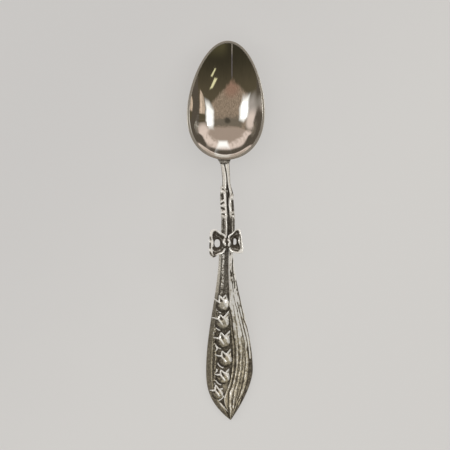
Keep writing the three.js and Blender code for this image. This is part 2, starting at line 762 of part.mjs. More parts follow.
function pedicelGeometry(isMirrored) {
  const reach = BELL_RADIUS + SOLDER + PEDICEL_RADIUS;
  const points = range(PEDICEL_STEPS + 1).map((step) => {
    const angle = lerp(PEDICEL_FROM, PEDICEL_TO, step / PEDICEL_STEPS);
    const x = reach * Math.cos(angle) * (isMirrored ? -1 : 1);
    return new THREE.Vector3(x, reach * Math.sin(angle), PEDICEL_RADIUS / 2 + SOLDER);
  });
  return tube(new THREE.CatmullRomCurve3(points), PEDICEL_STEPS, () => PEDICEL_RADIUS);
}

function flowers() {
  return BELL_SEATS.map(([x, from], index) => {
    const flower = new THREE.Group();
    flower.position.copy(handlePoint(x, from, LEAF_SHEET));
    flower.rotation.set(handleSlope(from), 0, degrees(BELL_LEANS[index]));
    const isLast = index === BELL_SEATS.length - 1;
    flower.scale.setScalar(isLast ? LAST_BELL_SCALE : 1);
    flower.updateMatrix();
    const intoFlower = flower.matrix.clone().invert().elements;
    const seat = backLeafClearance().transform(intoFlower);
    const stalk = solidOf(flowerStalkGeometry(SOLDER)).transform(intoFlower);
    const front = solidOf(frontLeafGeometry(SOLDER)).transform(intoFlower);
    const bell = fitted(bellGeometry(0), seat, stalk, front);
    const bellSpace = solidOf(bellGeometry(SOLDER));
    const pedicel = fitted(pedicelGeometry(isLast), seat, stalk, front, bellSpace);
    flower.add(piece(`bell_${index + 1}`, bell, WORN));
    flower.add(piece(`pedicel_${index + 1}`, pedicel, WORN));
    return flower;
  });
}

// The whole spoon, with the origin under the middle of its bounding box
bowlFrame.add(bowl(), neckDrop());
bowFrame.add(...bow());
const lying = new THREE.Group();
lying.add(bowlFrame, ...stem(), ...sheaths(), bowFrame, ...leaves(), flowerStalk(), ...flowers());
const bounds = new THREE.Box3().setFromObject(lying, true);
const middle = bounds.getCenter(new THREE.Vector3());
lying.position.set(-middle.x, -middle.y, -bounds.min.z);

const spoon = new THREE.Group();
spoon.name = "spoon";
spoon.add(lying);

export default spoon;
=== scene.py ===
# %% [markdown]
# # A lily-of-the-valley teaspoon
# The spoon is silver: a mirror-polished bowl, and a handle struck as a spray of lily of the valley that a
# ribbon bow holds together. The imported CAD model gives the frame, and every piece here takes the place of
# one CAD node, with the same sizes and a finer surface. All shapes are worked out in millimetres and turned
# into metres when they become a mesh.

# %% Load the frame
import math

import bpy
import numpy as np
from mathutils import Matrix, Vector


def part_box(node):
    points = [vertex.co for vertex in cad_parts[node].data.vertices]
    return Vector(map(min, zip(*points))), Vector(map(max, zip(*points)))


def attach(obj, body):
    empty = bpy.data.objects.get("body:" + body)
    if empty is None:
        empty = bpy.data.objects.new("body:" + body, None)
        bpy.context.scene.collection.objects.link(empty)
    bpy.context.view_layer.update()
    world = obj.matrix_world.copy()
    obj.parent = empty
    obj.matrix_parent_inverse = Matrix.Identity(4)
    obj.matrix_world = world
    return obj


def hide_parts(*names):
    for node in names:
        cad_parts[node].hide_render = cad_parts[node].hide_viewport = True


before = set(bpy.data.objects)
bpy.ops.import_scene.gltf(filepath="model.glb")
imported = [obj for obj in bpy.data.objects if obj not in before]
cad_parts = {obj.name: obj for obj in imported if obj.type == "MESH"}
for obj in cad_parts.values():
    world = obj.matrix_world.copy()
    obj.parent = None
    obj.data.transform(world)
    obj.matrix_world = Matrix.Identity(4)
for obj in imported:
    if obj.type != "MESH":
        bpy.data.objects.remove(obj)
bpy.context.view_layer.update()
MM = 0.001

# %% [markdown]
# ## One way to make every solid
# Nearly everything on a spoon is a closed surface that can be drawn as rings: a stalk is rings along a
# line, a leaf is cross-sections from root to tip, and a bell is rings from its middle to its outline. So
# one function skins rings with quads and closes the ends. It also stores a number on each point, which
# the finishes read later: 0 or less where silver is rubbed bright, 1 where it is black. That number holds
# real tarnish, and also painted highlights and painted shade.

# %% Small helpers on arrays
def lerp(low, high, share):
    return low + (high - low) * share


def smoothstep(value, low, high):
    share = np.clip((value - low) / (high - low), 0, 1)
    return share * share * (3 - 2 * share)


def bump(value, centre, width):
    return np.exp(-(((value - centre) / width) ** 2))


def full_turn(count):
    return np.linspace(0, 2 * math.pi, count, endpoint=False)


def bend(t, span, start, start_slope, end, end_slope):
    """A cubic that leaves its start and reaches its end with the given slopes, for t from 0 to 1."""
    leaving = start * (2 * t**3 - 3 * t**2 + 1) + start_slope * span * (t**3 - 2 * t**2 + t)
    return leaving + end * (3 * t**2 - 2 * t**3) + end_slope * span * (t**3 - t**2)


def along_line(stations):
    """A smooth run through [place, value] stations, as a function of the place."""
    places, values = np.array(stations, float).T
    slopes = np.gradient(values, places)

    def value_at(place):
        place = np.clip(place, places[0], places[-1])
        i = np.clip(np.searchsorted(places, place) - 1, 0, len(places) - 2)
        span = places[i + 1] - places[i]
        t = (place - places[i]) / span
        return bend(t, span, values[i], slopes[i], values[i + 1], slopes[i + 1])

    return value_at


def resample(corners, count):
    """Points along a bent line, spread evenly over its legs."""
    corners = np.array(corners, float)
    share = np.linspace(0, 1, count)
    corner = np.linspace(0, 1, len(corners))
    return np.stack([np.interp(share, corner, values) for values in corners.T], axis=1)


rng = np.random.default_rng(7)
PATCHES = rng.uniform(-1, 1, (64, 128))


def mottle(x, come, cell_x, cell_come):
    """Smooth random tones from -1 to 1, in cells of the given sizes."""
    a, b = np.broadcast_arrays(x / cell_x, come / cell_come)
    i, j = np.floor(a).astype(int), np.floor(b).astype(int)
    s, t = smoothstep(a - i, 0, 1), smoothstep(b - j, 0, 1)
    rows, columns = PATCHES.shape
    near, far = [
        lerp(PATCHES[i % rows, k % columns], PATCHES[(i + 1) % rows, k % columns], s) for k in (j, j + 1)
    ]
    return lerp(near, far, t)


# %% Place of the neck in the CAD frame
HANDLE_LENGTH = 89.2
LEAF_WIDE_RIGHT = 9.05
NECK_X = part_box("left_leaf")[1].x / MM - LEAF_WIDE_RIGHT
NECK_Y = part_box("left_leaf")[0].y / MM + HANDLE_LENGTH
NECK_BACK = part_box("stem_bar")[0].z / MM
print(f"neck at x {NECK_X:.2f}, y {NECK_Y:.2f}, back of the stem there at z {NECK_BACK:.2f} mm")

# %% Rings to mesh
def quads_between(bands, count, is_loop):
    here = np.arange(count)
    beside = np.roll(here, -1)
    faces = []
    for band in range(bands if is_loop else bands - 1):
        low = band * count
        high = ((band + 1) % bands) * count
        faces.append(np.stack([low + here, low + beside, high + beside, high + here], axis=1))
    return np.concatenate(faces)


def caps_on(points, bands, count):
    """Two fans, each from a new point in the middle of an end ring."""
    ends = [points[:count], points[-count:]]
    middles = np.array([end.mean(axis=0) for end in ends])
    here = np.arange(count)
    beside = np.roll(here, -1)
    first = np.stack([np.full(count, len(points)), beside, here], axis=1)
    last_ring = (bands - 1) * count
    last = np.stack([np.full(count, len(points) + 1), last_ring + here, last_ring + beside], axis=1)
    return middles, np.concatenate([first, last])


def signed_volume(points, faces):
    a, b, c = points[faces[:, 0]], points[faces[:, 1]], points[faces[:, 2]]
    return np.einsum("ij,ij->i", a, np.cross(b, c)).sum()


def skin(rings, tarnish_and_painted_light, is_loop=False):
    """Points, faces and tarnish of a closed solid through rings of equal count."""
    rings = np.asarray(rings, float)
    bands, count = rings.shape[:2]
    points = rings.reshape(-1, 3)
    marks = np.broadcast_to(tarnish_and_painted_light, (bands, count)).reshape(-1)
    faces = quads_between(bands, count, is_loop)
    triangles = np.concatenate([faces[:, [0, 1, 2]], faces[:, [0, 2, 3]]])
    lists = faces.tolist()
    if not is_loop:
        middles, fans = caps_on(points, bands, count)
        points = np.concatenate([points, middles])
        marks = np.concatenate([marks, [marks[:count].mean(), marks[-count:].mean()]])
        triangles = np.concatenate([triangles, fans])
        lists += fans.tolist()
    if signed_volume(points, triangles) < 0:
        lists = [face[::-1] for face in lists]
    return points, lists, marks


# %% [markdown]
# ## Pieces of the spoon
# Every piece becomes one mesh object that rides on the spoon and takes the place of a CAD node. Smooth
# shading suits polished metal, except over edges sharper than 40 degrees. Old silver is dark where a cloth
# can't reach and bright where it rubs, so the tarnish of each point goes along as an attribute, together
# with the painted highlights and painted shade that the same number carries.

# %% Solids to piece
SHARP_EDGE = math.radians(40)


def make_piece(name, solids, node, material):
    """One object from one or more solids, riding on the spoon in the place of a CAD node."""
    points, faces, marks = [], [], []
    for part_points, part_faces, part_marks in solids:
        first = sum(map(len, points))
        faces += [[index + first for index in face] for face in part_faces]
        points.append(part_points)
        marks.append(part_marks)
    points = np.concatenate(points)
    mesh = bpy.data.meshes.new(name)
    shifted = (points + [NECK_X, NECK_Y, 0]) * MM
    mesh.from_pydata(shifted.tolist(), [], faces)
    mesh.shade_smooth()
    mesh.set_sharp_from_angle(angle=SHARP_EDGE)
    tarnish_and_painted_light = np.clip(np.concatenate(marks), -1, 1)
    mesh.attributes.new("tarnish_and_painted_light", "FLOAT", "POINT").data.foreach_set("value", tarnish_and_painted_light.astype(np.float32))
    mesh.materials.append(material)
    piece = bpy.data.objects.new(name, mesh)
    bpy.context.scene.collection.objects.link(piece)
    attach(piece, "root")
    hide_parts(node)
    print(f"{name}: {len(points)} points, tarnish {tarnish_and_painted_light.min():.2f} to {tarnish_and_painted_light.max():.2f}")


# %% [markdown]
# ## Shader maths as Python
# A Blender material is a web of nodes, and wiring sums by hand hides what they mean. This small class wraps
# a socket, so that `1 - mask * 0.5` adds the Math nodes itself. Colours go through Mix nodes.

# %% A socket that does sums
class Socket:
    def __init__(self, tree, socket):
        self.tree = tree
        self.socket = socket

    def math(self, operation, *values):
        return self.tree.add("ShaderNodeMath", {"operation": operation}, dict(enumerate(values)))

    def __add__(self, other):
        return self.math("ADD", self, other)

    def __radd__(self, other):
        return self.math("ADD", other, self)

    def __sub__(self, other):
        return self.math("SUBTRACT", self, other)

    def __rsub__(self, other):
        return self.math("SUBTRACT", other, self)

    def __mul__(self, other):
        return self.math("MULTIPLY", self, other)

    def __rmul__(self, other):
        return self.math("MULTIPLY", other, self)

    def __truediv__(self, other):
        return self.math("DIVIDE", self, other)

    def __neg__(self):
        return self.math("MULTIPLY", self, -1)

    def __abs__(self):
        return self.math("ABSOLUTE", self)

    def __pow__(self, other):
        return self.math("POWER", self, other)


class Nodes:
    def __init__(self, tree):
        self.tree = tree
        self.tree.nodes.clear()

    def add(self, kind, settings=None, values=None, output=0):
        """Any node: settings first, then values or links of its sockets; gives one output back."""
        node = self.tree.nodes.new(kind)
        for key, value in (settings or {}).items():
            setattr(node, key, value)
        for key, value in (values or {}).items():
            if isinstance(value, Socket):
                self.tree.links.new(value.socket, node.inputs[key])
            else:
                node.inputs[key].default_value = value
        return Socket(self, node.outputs[output]) if node.outputs else node

    def step(self, value, low, high):
        """0 below low, 1 above high, smooth between."""
        settings = {"interpolation_type": "SMOOTHSTEP"}
        return self.add("ShaderNodeMapRange", settings, {0: value, 1: low, 2: high})

    def window(self, value, low, high, soft):
        """1 between low and high, with soft edges."""
        return self.step(value, low - soft, low + soft) * (1 - self.step(value, high - soft, high + soft))

    def mix(self, factor, first, second):
        settings = {"data_type": "RGBA", "clamp_factor": True}
        return self.add("ShaderNodeMix", settings, {0: factor, 6: first, 7: second}, output=2)

    def noise(self, place, scale, detail):
        return self.add("ShaderNodeTexNoise", None, {"Vector": place, "Scale": scale, "Detail": detail})

    def scaled(self, place, factors):
        return self.add("ShaderNodeMapping", None, {0: place, 3: factors})

    def axis(self, place, number):
        """One number of a place: x is 0, y is 1 and z is 2."""
        return self.add("ShaderNodeSeparateXYZ", None, {0: place}, output=number)

    def highest(self, first, *others):
        for other in others:
            first = first.math("MAXIMUM", first, other)
        return first


def srgb(red, green, blue):
    """A colour as an image shows it, from 0 to 255, in the linear values that shaders use."""
    shares = [value / 255 for value in (red, green, blue)]
    return (*[s / 12.92 if s <= 0.04045 else ((s + 0.055) / 1.055) ** 2.4 for s in shares], 1.0)


print("dark olive in linear light:", [round(v, 3) for v in srgb(58, 53, 38)])

# %% [markdown]
# ## The finishes
# Silver is one metal with four finishes here. The bowl is polished, with only hair scratches from years of
# use, and the bare stalks are rubbed softer. The struck parts are the same metal with an oxide that was
# left in the hollows. The ground behind the flowers is stippled and almost black. All four read the tarnish
# number, break it up with noise, and mix bright silver with oxide. Where that number paints light, the
# bright silver is a painted highlight and the oxide colour is painted shade. Silver turns straw-coloured
# before it turns black, so some straw comes between the two, and more of it towards the handle's end.

# %% Silver with oxide in its hollows
# Bright silver, which is also the colour of painted highlights, and oxide, which is also the colour of
# painted shade.
BRIGHT_AND_PAINTED_HIGHLIGHT = srgb(253, 251, 246)
STRAW = srgb(238, 220, 172)
OXIDE_AND_PAINTED_SHADE = srgb(62, 55, 45)


def silver(name, polish, dull, blotch, grain, scratches, metal):
    """Roughness goes from polish where bright to dull where black; noise breaks up colour and shine."""
    material = bpy.data.materials.new(name)
    material.use_nodes = True
    nodes = Nodes(material.node_tree)
    place = nodes.add("ShaderNodeTexCoord", output="Object")
    tarnish_and_painted_light = nodes.add("ShaderNodeAttribute", {"attribute_name": "tarnish_and_painted_light"}, output=2)
    cloud = nodes.noise(place, 700.0, 4.0)
    speck = nodes.noise(place, 2400.0, 3.0)
    broken = tarnish_and_painted_light + (cloud - 0.5) * blotch + (speck - 0.5) * grain
    clear = 1 - nodes.add("ShaderNodeClamp", None, {0: broken})
    oxide_and_painted_shade = 1 - clear * clear
    towards_end = nodes.step(-nodes.axis(place, 1), 0.0, 0.05)
    straw = nodes.step(oxide_and_painted_shade, 0.0, 0.4) * (0.2 + 0.5 * towards_end)
    colour = nodes.mix(oxide_and_painted_shade, nodes.mix(straw, BRIGHT_AND_PAINTED_HIGHLIGHT, STRAW), OXIDE_AND_PAINTED_SHADE)
    hair = nodes.noise(nodes.scaled(place, (1.0, 0.12, 1.0)), 9000.0, 2.0)
    roughness = polish + oxide_and_painted_shade * (dull - polish) + (hair - 0.5) * scratches
    metallic = metal * (1 - oxide_and_painted_shade * 0.6)
    height = speck * grain * 0.3 + hair * scratches
    normal = nodes.add("ShaderNodeBump", None, {"Strength": 0.35, "Distance": 0.0001, "Height": height})
    shader = nodes.add(
        "ShaderNodeBsdfPrincipled", None,
        {"Base Color": colour, "Metallic": metallic, "Roughness": roughness, "Normal": normal},
    )
    nodes.add("ShaderNodeOutputMaterial", None, {"Surface": shader})
    print(f"{name}: roughness {polish} where bright, {dull} where black")
    return material


POLISHED = silver("polished_silver", 0.04, 0.3, 0.03, 0.03, 0.03, 1.0)
STALK_SILVER = silver("stalk_silver", 0.16, 0.4, 0.3, 0.25, 0.05, 0.25)
WORN = silver("worn_silver", 0.17, 0.5, 0.9, 1.2, 0.06, 0.34)
OXIDISED = silver("oxidised_silver", 0.28, 0.55, 0.35, 0.8, 0.05, 0.4)

# %% [markdown]
# ## The bowl
# The real bowl is an egg in plan, pressed from sheet, deepest a little nearer the neck, and its rim rises
# towards the neck. A subdivided box would need a lot of pushing about to get there. A formula is exact: the
# half-width follows a circle's curve along the length, times a short polynomial that fattens the neck end,
# and each ring from the middle to the rim is a smaller copy of that outline. Inside, four lists say how
# steep the wall is on its way out: at the tip, along the sides, where the left edge is rolled, and at the
# neck, where it ends in a flat lip. That flare puts a dark line and a pale band along the rim.

# %% Bowl sizes
BOWL_LENGTH = 40.79
BOWL_WIDTH = 26.8
BOWL_DEPTH = 6.8
BOWL_SHEET = 0.9
RIM_CROWN = 0.2
BOWL_WIDEST = 17.1
BOWL_DEEPEST = 15.2
BOWL_WALL_POWER = 2.2
BOWL_NECK_LIFT = 1.2
BOWL_TURN = math.radians(-2.15)
BOWL_OFFSET = -0.8
WORN_FLAT = 0.12
TIP_STEEPNESS = [[0, 0], [0.5, 0.5], [1, 1]]
SIDE_STEEPNESS = [[0, 0], [0.4, 0.4], [0.78, 0.78], [0.88, 0.82], [1, 0.81]]
LEFT_STEEPNESS = [[0, 0], [0.4, 0.4], [0.74, 0.74], [0.82, 0.78], [0.9, 0.77], [0.95, 0.71], [1, 0.62]]
NECK_STEEPNESS = [
    [0, 0], [0.35, 0.35], [0.54, 0.53], [0.67, 0.61], [0.8, 0.65], [0.88, 0.65], [0.92, 0.635],
    [0.955, 0.575], [1, 0.545],
]
EGG_BELLY, EGG_TAPER, EGG_SHOULDER = 0.969, -0.204, 0.062
BOWL_SIDES = 192
around = full_turn(BOWL_SIDES)
tipward = np.sin(around)


def flared_wall(reach):
    """Share of the depth that the inside has climbed at a reach from 0 to 1, most flared at the neck."""
    fine = np.linspace(0, 1, 401)
    climbs = []
    for stations in (TIP_STEEPNESS, SIDE_STEEPNESS, LEFT_STEEPNESS, NECK_STEEPNESS):
        steepness = along_line(stations)(fine)
        climb = np.concatenate([[0], np.cumsum(steepness[1:] + steepness[:-1])])
        climbs.append(np.interp(reach, fine, climb / climb[-1]))
    at_tip, at_side, at_left, at_neck = climbs
    on_left = smoothstep(-np.cos(around), 0.5, 0.9)
    rolled = on_left * smoothstep(tipward, -0.42, -0.3) * smoothstep(-tipward, -0.1, 0.12)
    beside = lerp(at_side, at_left, rolled)
    upper = lerp(beside, at_tip, smoothstep(tipward, 0.02, 0.32))
    return lerp(upper, at_neck, smoothstep(-tipward, 0.6, 1))


def bowl_ring(grow, reach, climbed):
    """One ring of the outside, or of a surface grown from it, at a reach from 0 to 1."""
    egg = EGG_BELLY + EGG_TAPER * tipward + EGG_SHOULDER * tipward**2
    x = reach * (BOWL_WIDTH / 2 + grow) * np.cos(around) * egg
    middle = lerp(BOWL_DEEPEST, BOWL_WIDEST, reach**2)
    y = middle + reach * ((BOWL_LENGTH / 2 + grow) * tipward + BOWL_LENGTH / 2 - BOWL_WIDEST)
    lift = BOWL_NECK_LIFT * np.maximum(0, 1 - y / BOWL_LENGTH) ** 2
    depth = (BOWL_DEPTH + BOWL_SHEET + grow) * (1 - climbed)
    return np.stack([x, y, lift - depth], axis=1)


BOWL_RISE = -bowl_ring(0, 0.01, 0)[:, 2].min() - WORN_FLAT
print(f"bowl {BOWL_LENGTH} x {BOWL_WIDTH} mm, rim {BOWL_RISE:.2f} mm above the floor")


def onto_spoon(points):
    """From the bowl's own axes, which are turned a little, to the spoon's."""
    x, y, z = np.moveaxis(points, -1, 0)
    turned_x = x * math.cos(BOWL_TURN) - y * math.sin(BOWL_TURN) + BOWL_OFFSET
    turned_y = x * math.sin(BOWL_TURN) + y * math.cos(BOWL_TURN)
    return np.stack([turned_x, turned_y, z + BOWL_RISE], axis=-1)


# %% Bowl
reaches = np.sin(np.linspace(0.01, math.pi / 2, 56))
inside = [bowl_ring(-BOWL_SHEET, reach, flared_wall(reach)) for reach in reaches]
outside = [bowl_ring(0, reach, reach**BOWL_WALL_POWER) for reach in reaches[::-1]]
rim = []
for turn in np.linspace(0, math.pi, 11)[1:-1]:
    ring = bowl_ring(-BOWL_SHEET * (1 + math.cos(turn)) / 2, 1, 1)
    ring[:, 2] += RIM_CROWN * math.sin(turn)
    rim.append(ring)
bowl_rings = onto_spoon(np.array(inside + rim + outside))
bowl_rings[..., 2] = np.maximum(bowl_rings[..., 2], 0)
rubbed = smoothstep(-tipward, 0.9, 1)
rim_marks = np.tile(lerp(0.3, 0.08, rubbed), (len(rim), 1))
neck_lip = smoothstep(reaches, 0.93, 0.96)[:, None] * smoothstep(-tipward, 0.7, 0.95)
back_x, back_y = np.moveaxis(bowl_rings[-len(outside):, :, :2], -1, 0)
back_marks = 0.15 + 0.05 * mottle(back_x, back_y, 3.0, 3.0)
bowl_marks = np.concatenate([0.32 * neck_lip - 0.1, rim_marks, back_marks])
make_piece("bowl_dish", [skin(bowl_rings, bowl_marks)], "bowl", POLISHED)

# %% [markdown]
# ## The handle's arch and lines drawn on it
# Seen from the side, a spoon's handle rises from the neck, peaks and comes down to a foot. Every handle
# piece is placed by how far right of the axis it is, how far from the neck, and how far above that back
# line. Struck ornament is mostly ridges and grooves. They could be sculpted, but a list of short bent
# lines, each with a rise, a width and a tarnish, says the same in numbers: a ridge lifts the surface and is
# rubbed bright, and a groove sinks it and stays dark. On the bells the same lines also paint highlights
# and shade, some of them with no rise at all.

# %% Places on the handle
ARCH_HEIGHT = 10.5
ARCH_PEAK = 28.0
FOOT = 74.0
SOLDER = 0.1


def handle_back(come):
    rise = ARCH_HEIGHT - (ARCH_HEIGHT - NECK_BACK) * (1 - come / ARCH_PEAK) ** 2
    fall = np.clip((come - ARCH_PEAK) / (FOOT - ARCH_PEAK), 0, 1)
    return np.where(come < ARCH_PEAK, rise, ARCH_HEIGHT * (1 + np.cos(np.pi * fall)) / 2)


def on_handle(x, come, rise):
    x, come, rise = np.broadcast_arrays(x, come, rise)
    return np.stack([x, -come, handle_back(come) + rise], axis=-1)


def near_line(x, come, line):
    """How far points lie from a bent line of [x, come] corners."""
    best = np.full(np.shape(x), np.inf)
    for (ax, ay), (bx, by) in zip(line, line[1:]):
        dx, dy = bx - ax, by - ay
        share = np.clip(((x - ax) * dx + (come - ay) * dy) / (dx * dx + dy * dy), 0, 1)
        best = np.minimum(best, np.hypot(x - ax - share * dx, come - ay - share * dy))
    return best


def relief(x, come, lines, marks):
    """Height in mm that ridges and grooves, as [rise, width, tarnish, line], add, and their tarnish, which
    on the bells also paints highlights and shade.
    """
    height = np.zeros(np.shape(x))
    for rise, width, mark, line in lines:
        near = near_line(x, come, line) / width
        height = height + rise * np.exp(-(near**2))
        marks = lerp(marks, mark, np.exp(-(near**4)))
    return height, marks


# %% [markdown]
# ## Tubes
# Stalks and little flower stems are wires. A curve object with a bevel would draw one, but as rings it can
# also be cut flat where it lies on the piece below.

# %% A wire along a path
def tube(path, radius, tarnish_and_painted_light, lowest=None, sides=12):
    """A closed wire; points under the lowest level are lifted to it."""
    path = np.asarray(path, float)
    radius = np.broadcast_to(radius, len(path))
    along = np.gradient(path, axis=0)
    along /= np.linalg.norm(along, axis=1, keepdims=True)
    side = np.cross([0, 0, 1], along)
    side /= np.linalg.norm(side, axis=1, keepdims=True)
    up = np.cross(along, side)
    angle = full_turn(sides)
    across = np.cos(angle)[None, :, None] * side[:, None, :] + np.sin(angle)[None, :, None] * up[:, None, :]
    rings = path[:, None, :] + radius[:, None, None] * across
    if lowest is not None:
        rings[..., 2] = np.maximum(rings[..., 2], np.asarray(lowest)[:, None])
    return skin(rings, tarnish_and_painted_light)


# %% [markdown]
# ## Collar, bar and stalks
# At the neck a small flared collar grips the bowl's back with a tongue, and its edge has a double ridge. A
# squeezed cylinder could stand in for it, but a run of ellipses widens with the flare and then follows the
# bowl's own back into the tongue. A plain bar at the back carries the stem, and two smooth stalks lie on it
# side by side. The bar is a run of half-round sections, and the stalks are wires.

# %% Collar
COLLAR_LENGTH = 1.4
COLLAR_WIDTH = 4.6
COLLAR_SHIFT = 0.25
COLLAR_THICKNESS = 2.6
COLLAR_BODY = COLLAR_THICKNESS - 0.3
STALK_PAIR_HALF_WIDTH = 1.55
TONGUE_START, TONGUE_END = 0.98, 0.62
TONGUE_THICKNESS = 1.2
TONGUE_BITE = 0.35
TONGUE_SECTIONS = 24
COLLAR_RIDGE = 0.16
collar_along = np.linspace(0, 1, 25)
collar_ridges = COLLAR_RIDGE * (bump(collar_along, 0.3, 0.1) + bump(collar_along, 0.65, 0.1))


def collar_sections():
    """Centre, half-width and thickness from the stalks, over the ridges, to the end of the tongue."""
    height = float(handle_back(COLLAR_LENGTH)) + COLLAR_THICKNESS / 2 - BOWL_RISE
    flare = lerp(STALK_PAIR_HALF_WIDTH, COLLAR_WIDTH / 2 - 0.1, collar_along**2)
    sections = []
    for share, ridge, half_width in zip(collar_along, collar_ridges, flare):
        centre = [COLLAR_SHIFT * (1 - share), -COLLAR_LENGTH * (1 - share), height]
        sections.append((centre, half_width + ridge, COLLAR_BODY + 2 * ridge))
    neck_side = 3 * BOWL_SIDES // 4
    for share in np.linspace(0, 0.985, TONGUE_SECTIONS):
        reach = lerp(TONGUE_START, TONGUE_END, share)
        centre = bowl_ring(0, reach, reach**BOWL_WALL_POWER)[neck_side]
        half_width = COLLAR_WIDTH / 2 * math.sqrt(1 - share**2)
        thickness = lerp(COLLAR_BODY, TONGUE_THICKNESS, smoothstep(share, 0, 0.5))
        centre = centre - [0, 0, thickness / 2 - TONGUE_BITE]
        sections.append((centre, half_width, thickness))
    return sections


angle = full_turn(48)
collar_rings = [
    np.stack([c[0] + w * np.cos(angle), np.full(len(angle), c[1]), c[2] + t / 2 * np.sin(angle)], axis=1)
    for c, w, t in collar_sections()
]
ridge_marks = lerp(0.95, 0.4, collar_ridges / COLLAR_RIDGE)
collar_marks = np.concatenate([ridge_marks, np.full(TONGUE_SECTIONS, 0.3)])
collar = skin(onto_spoon(np.array(collar_rings)), collar_marks[:, None])
make_piece("neck_collar", [collar], "neck_drop", WORN)

# %% Stem sizes
STEM_BAR = 1.1
STEM_BAR_INSET = 0.15
STALK_RISE = 1.45
STALK_TAPER_END = 7.0
ROOT = 30.0
LEFT_SHEATH_START, RIGHT_SHEATH_START = 9.6, 12.2
SHEATH_END = 26.4
LEFT_SHEATH_RADIUS, RIGHT_SHEATH_RADIUS = 1.2, 0.95
BEAD_RISE = 0.2
left_stalk_x = along_line([[0, -1.6], [7, -0.65], [13, -1.0], [20, -0.55], [30, -1.0]])


def left_stalk_radius(come):
    return lerp(0.6, 0.8, smoothstep(come, 0, STALK_TAPER_END))


def right_stalk_radius(come):
    return lerp(0.85, 0.5, smoothstep(come, 0, STALK_TAPER_END))


def sheathing(come):
    return smoothstep(come, STALK_TAPER_END, RIGHT_SHEATH_START)


def right_stalk_x(come):
    bare = left_stalk_radius(come) + right_stalk_radius(come)
    sheathed = LEFT_SHEATH_RADIUS + BEAD_RISE + RIGHT_SHEATH_RADIUS
    return left_stalk_x(come) + SOLDER + lerp(bare, sheathed, sheathing(come))


print(f"right stalk {float(right_stalk_x(0.0) - left_stalk_x(0.0)):.2f} mm from the left one at the neck")

# %% Bar and stalks
stem_come = np.linspace(COLLAR_LENGTH + SOLDER, ROOT - SOLDER, 120)
bar_left = left_stalk_x(stem_come) + STEM_BAR_INSET - lerp(
    left_stalk_radius(stem_come), LEFT_SHEATH_RADIUS, sheathing(stem_come)
)
bar_right = right_stalk_x(stem_come) - STEM_BAR_INSET + lerp(
    right_stalk_radius(stem_come), RIGHT_SHEATH_RADIUS, sheathing(stem_come)
)
bar_angle = np.concatenate([np.linspace(math.pi, 2 * math.pi, 25), np.linspace(0, math.pi, 26)[1:-1]])
bar_across = (1 + np.cos(bar_angle)) / 2
bar_up = np.where(bar_angle > math.pi, STEM_BAR / 2 * (1 + np.sin(bar_angle)), STEM_BAR)
bar_x = lerp(bar_left[:, None], bar_right[:, None], bar_across[None, :])
bar_rings = on_handle(bar_x, stem_come[:, None], bar_up[None, :])
bar_marks = np.where(bar_up > STEM_BAR / 2, 1.0, 0.12)
make_piece("stem_back", [skin(bar_rings, bar_marks)], "stem_bar", WORN)

stalk_floor = handle_back(stem_come) + STEM_BAR + SOLDER / 2
stalk_angle = full_turn(24)
stalks = [
    ("left_stalk_rod", "left_stalk", left_stalk_x, left_stalk_radius, 0),
    ("right_stalk_rod", "right_stalk", right_stalk_x, right_stalk_radius, math.pi),
]
for name, node, x_at, radius_at, inner_angle in stalks:
    path = on_handle(x_at(stem_come), stem_come, STALK_RISE)
    # Painted light on each stalk: dark lines of painted shade along both flanks, a painted highlight line
    # towards the inner side, and painted shade where the two stalks touch.
    turn_from_inner = np.abs((stalk_angle - inner_angle + math.pi) % (2 * math.pi) - math.pi)
    painted_flank_shade = smoothstep(np.abs(np.cos(stalk_angle)), 0.7, 0.9)
    tone_and_painted_highlight = 0.12 - 0.45 * bump(turn_from_inner, 0.95, 0.3) + 0.08 * bump(turn_from_inner, 1.7, 0.25)
    marks = np.maximum(1.6 * bump(turn_from_inner, 0, 0.5), lerp(tone_and_painted_highlight, 0.8, painted_flank_shade))
    rod = tube(path, radius_at(stem_come), marks, stalk_floor, len(stalk_angle))
    make_piece(name, [rod], node, STALK_SILVER)

# %% [markdown]
# ## Sheaths
# Each stalk comes out of a sheath like a bud out of its bract: an open pod, a row of beads on the left one,
# and fine flutes down to the bow. A sheath is a sleeve, so its rings go down the outside and back up the
# inside. Beads could be separate balls, but they were struck from one piece with the sheath, so they are
# bumps of one skin, from a list of ridges and grooves in millimetres.

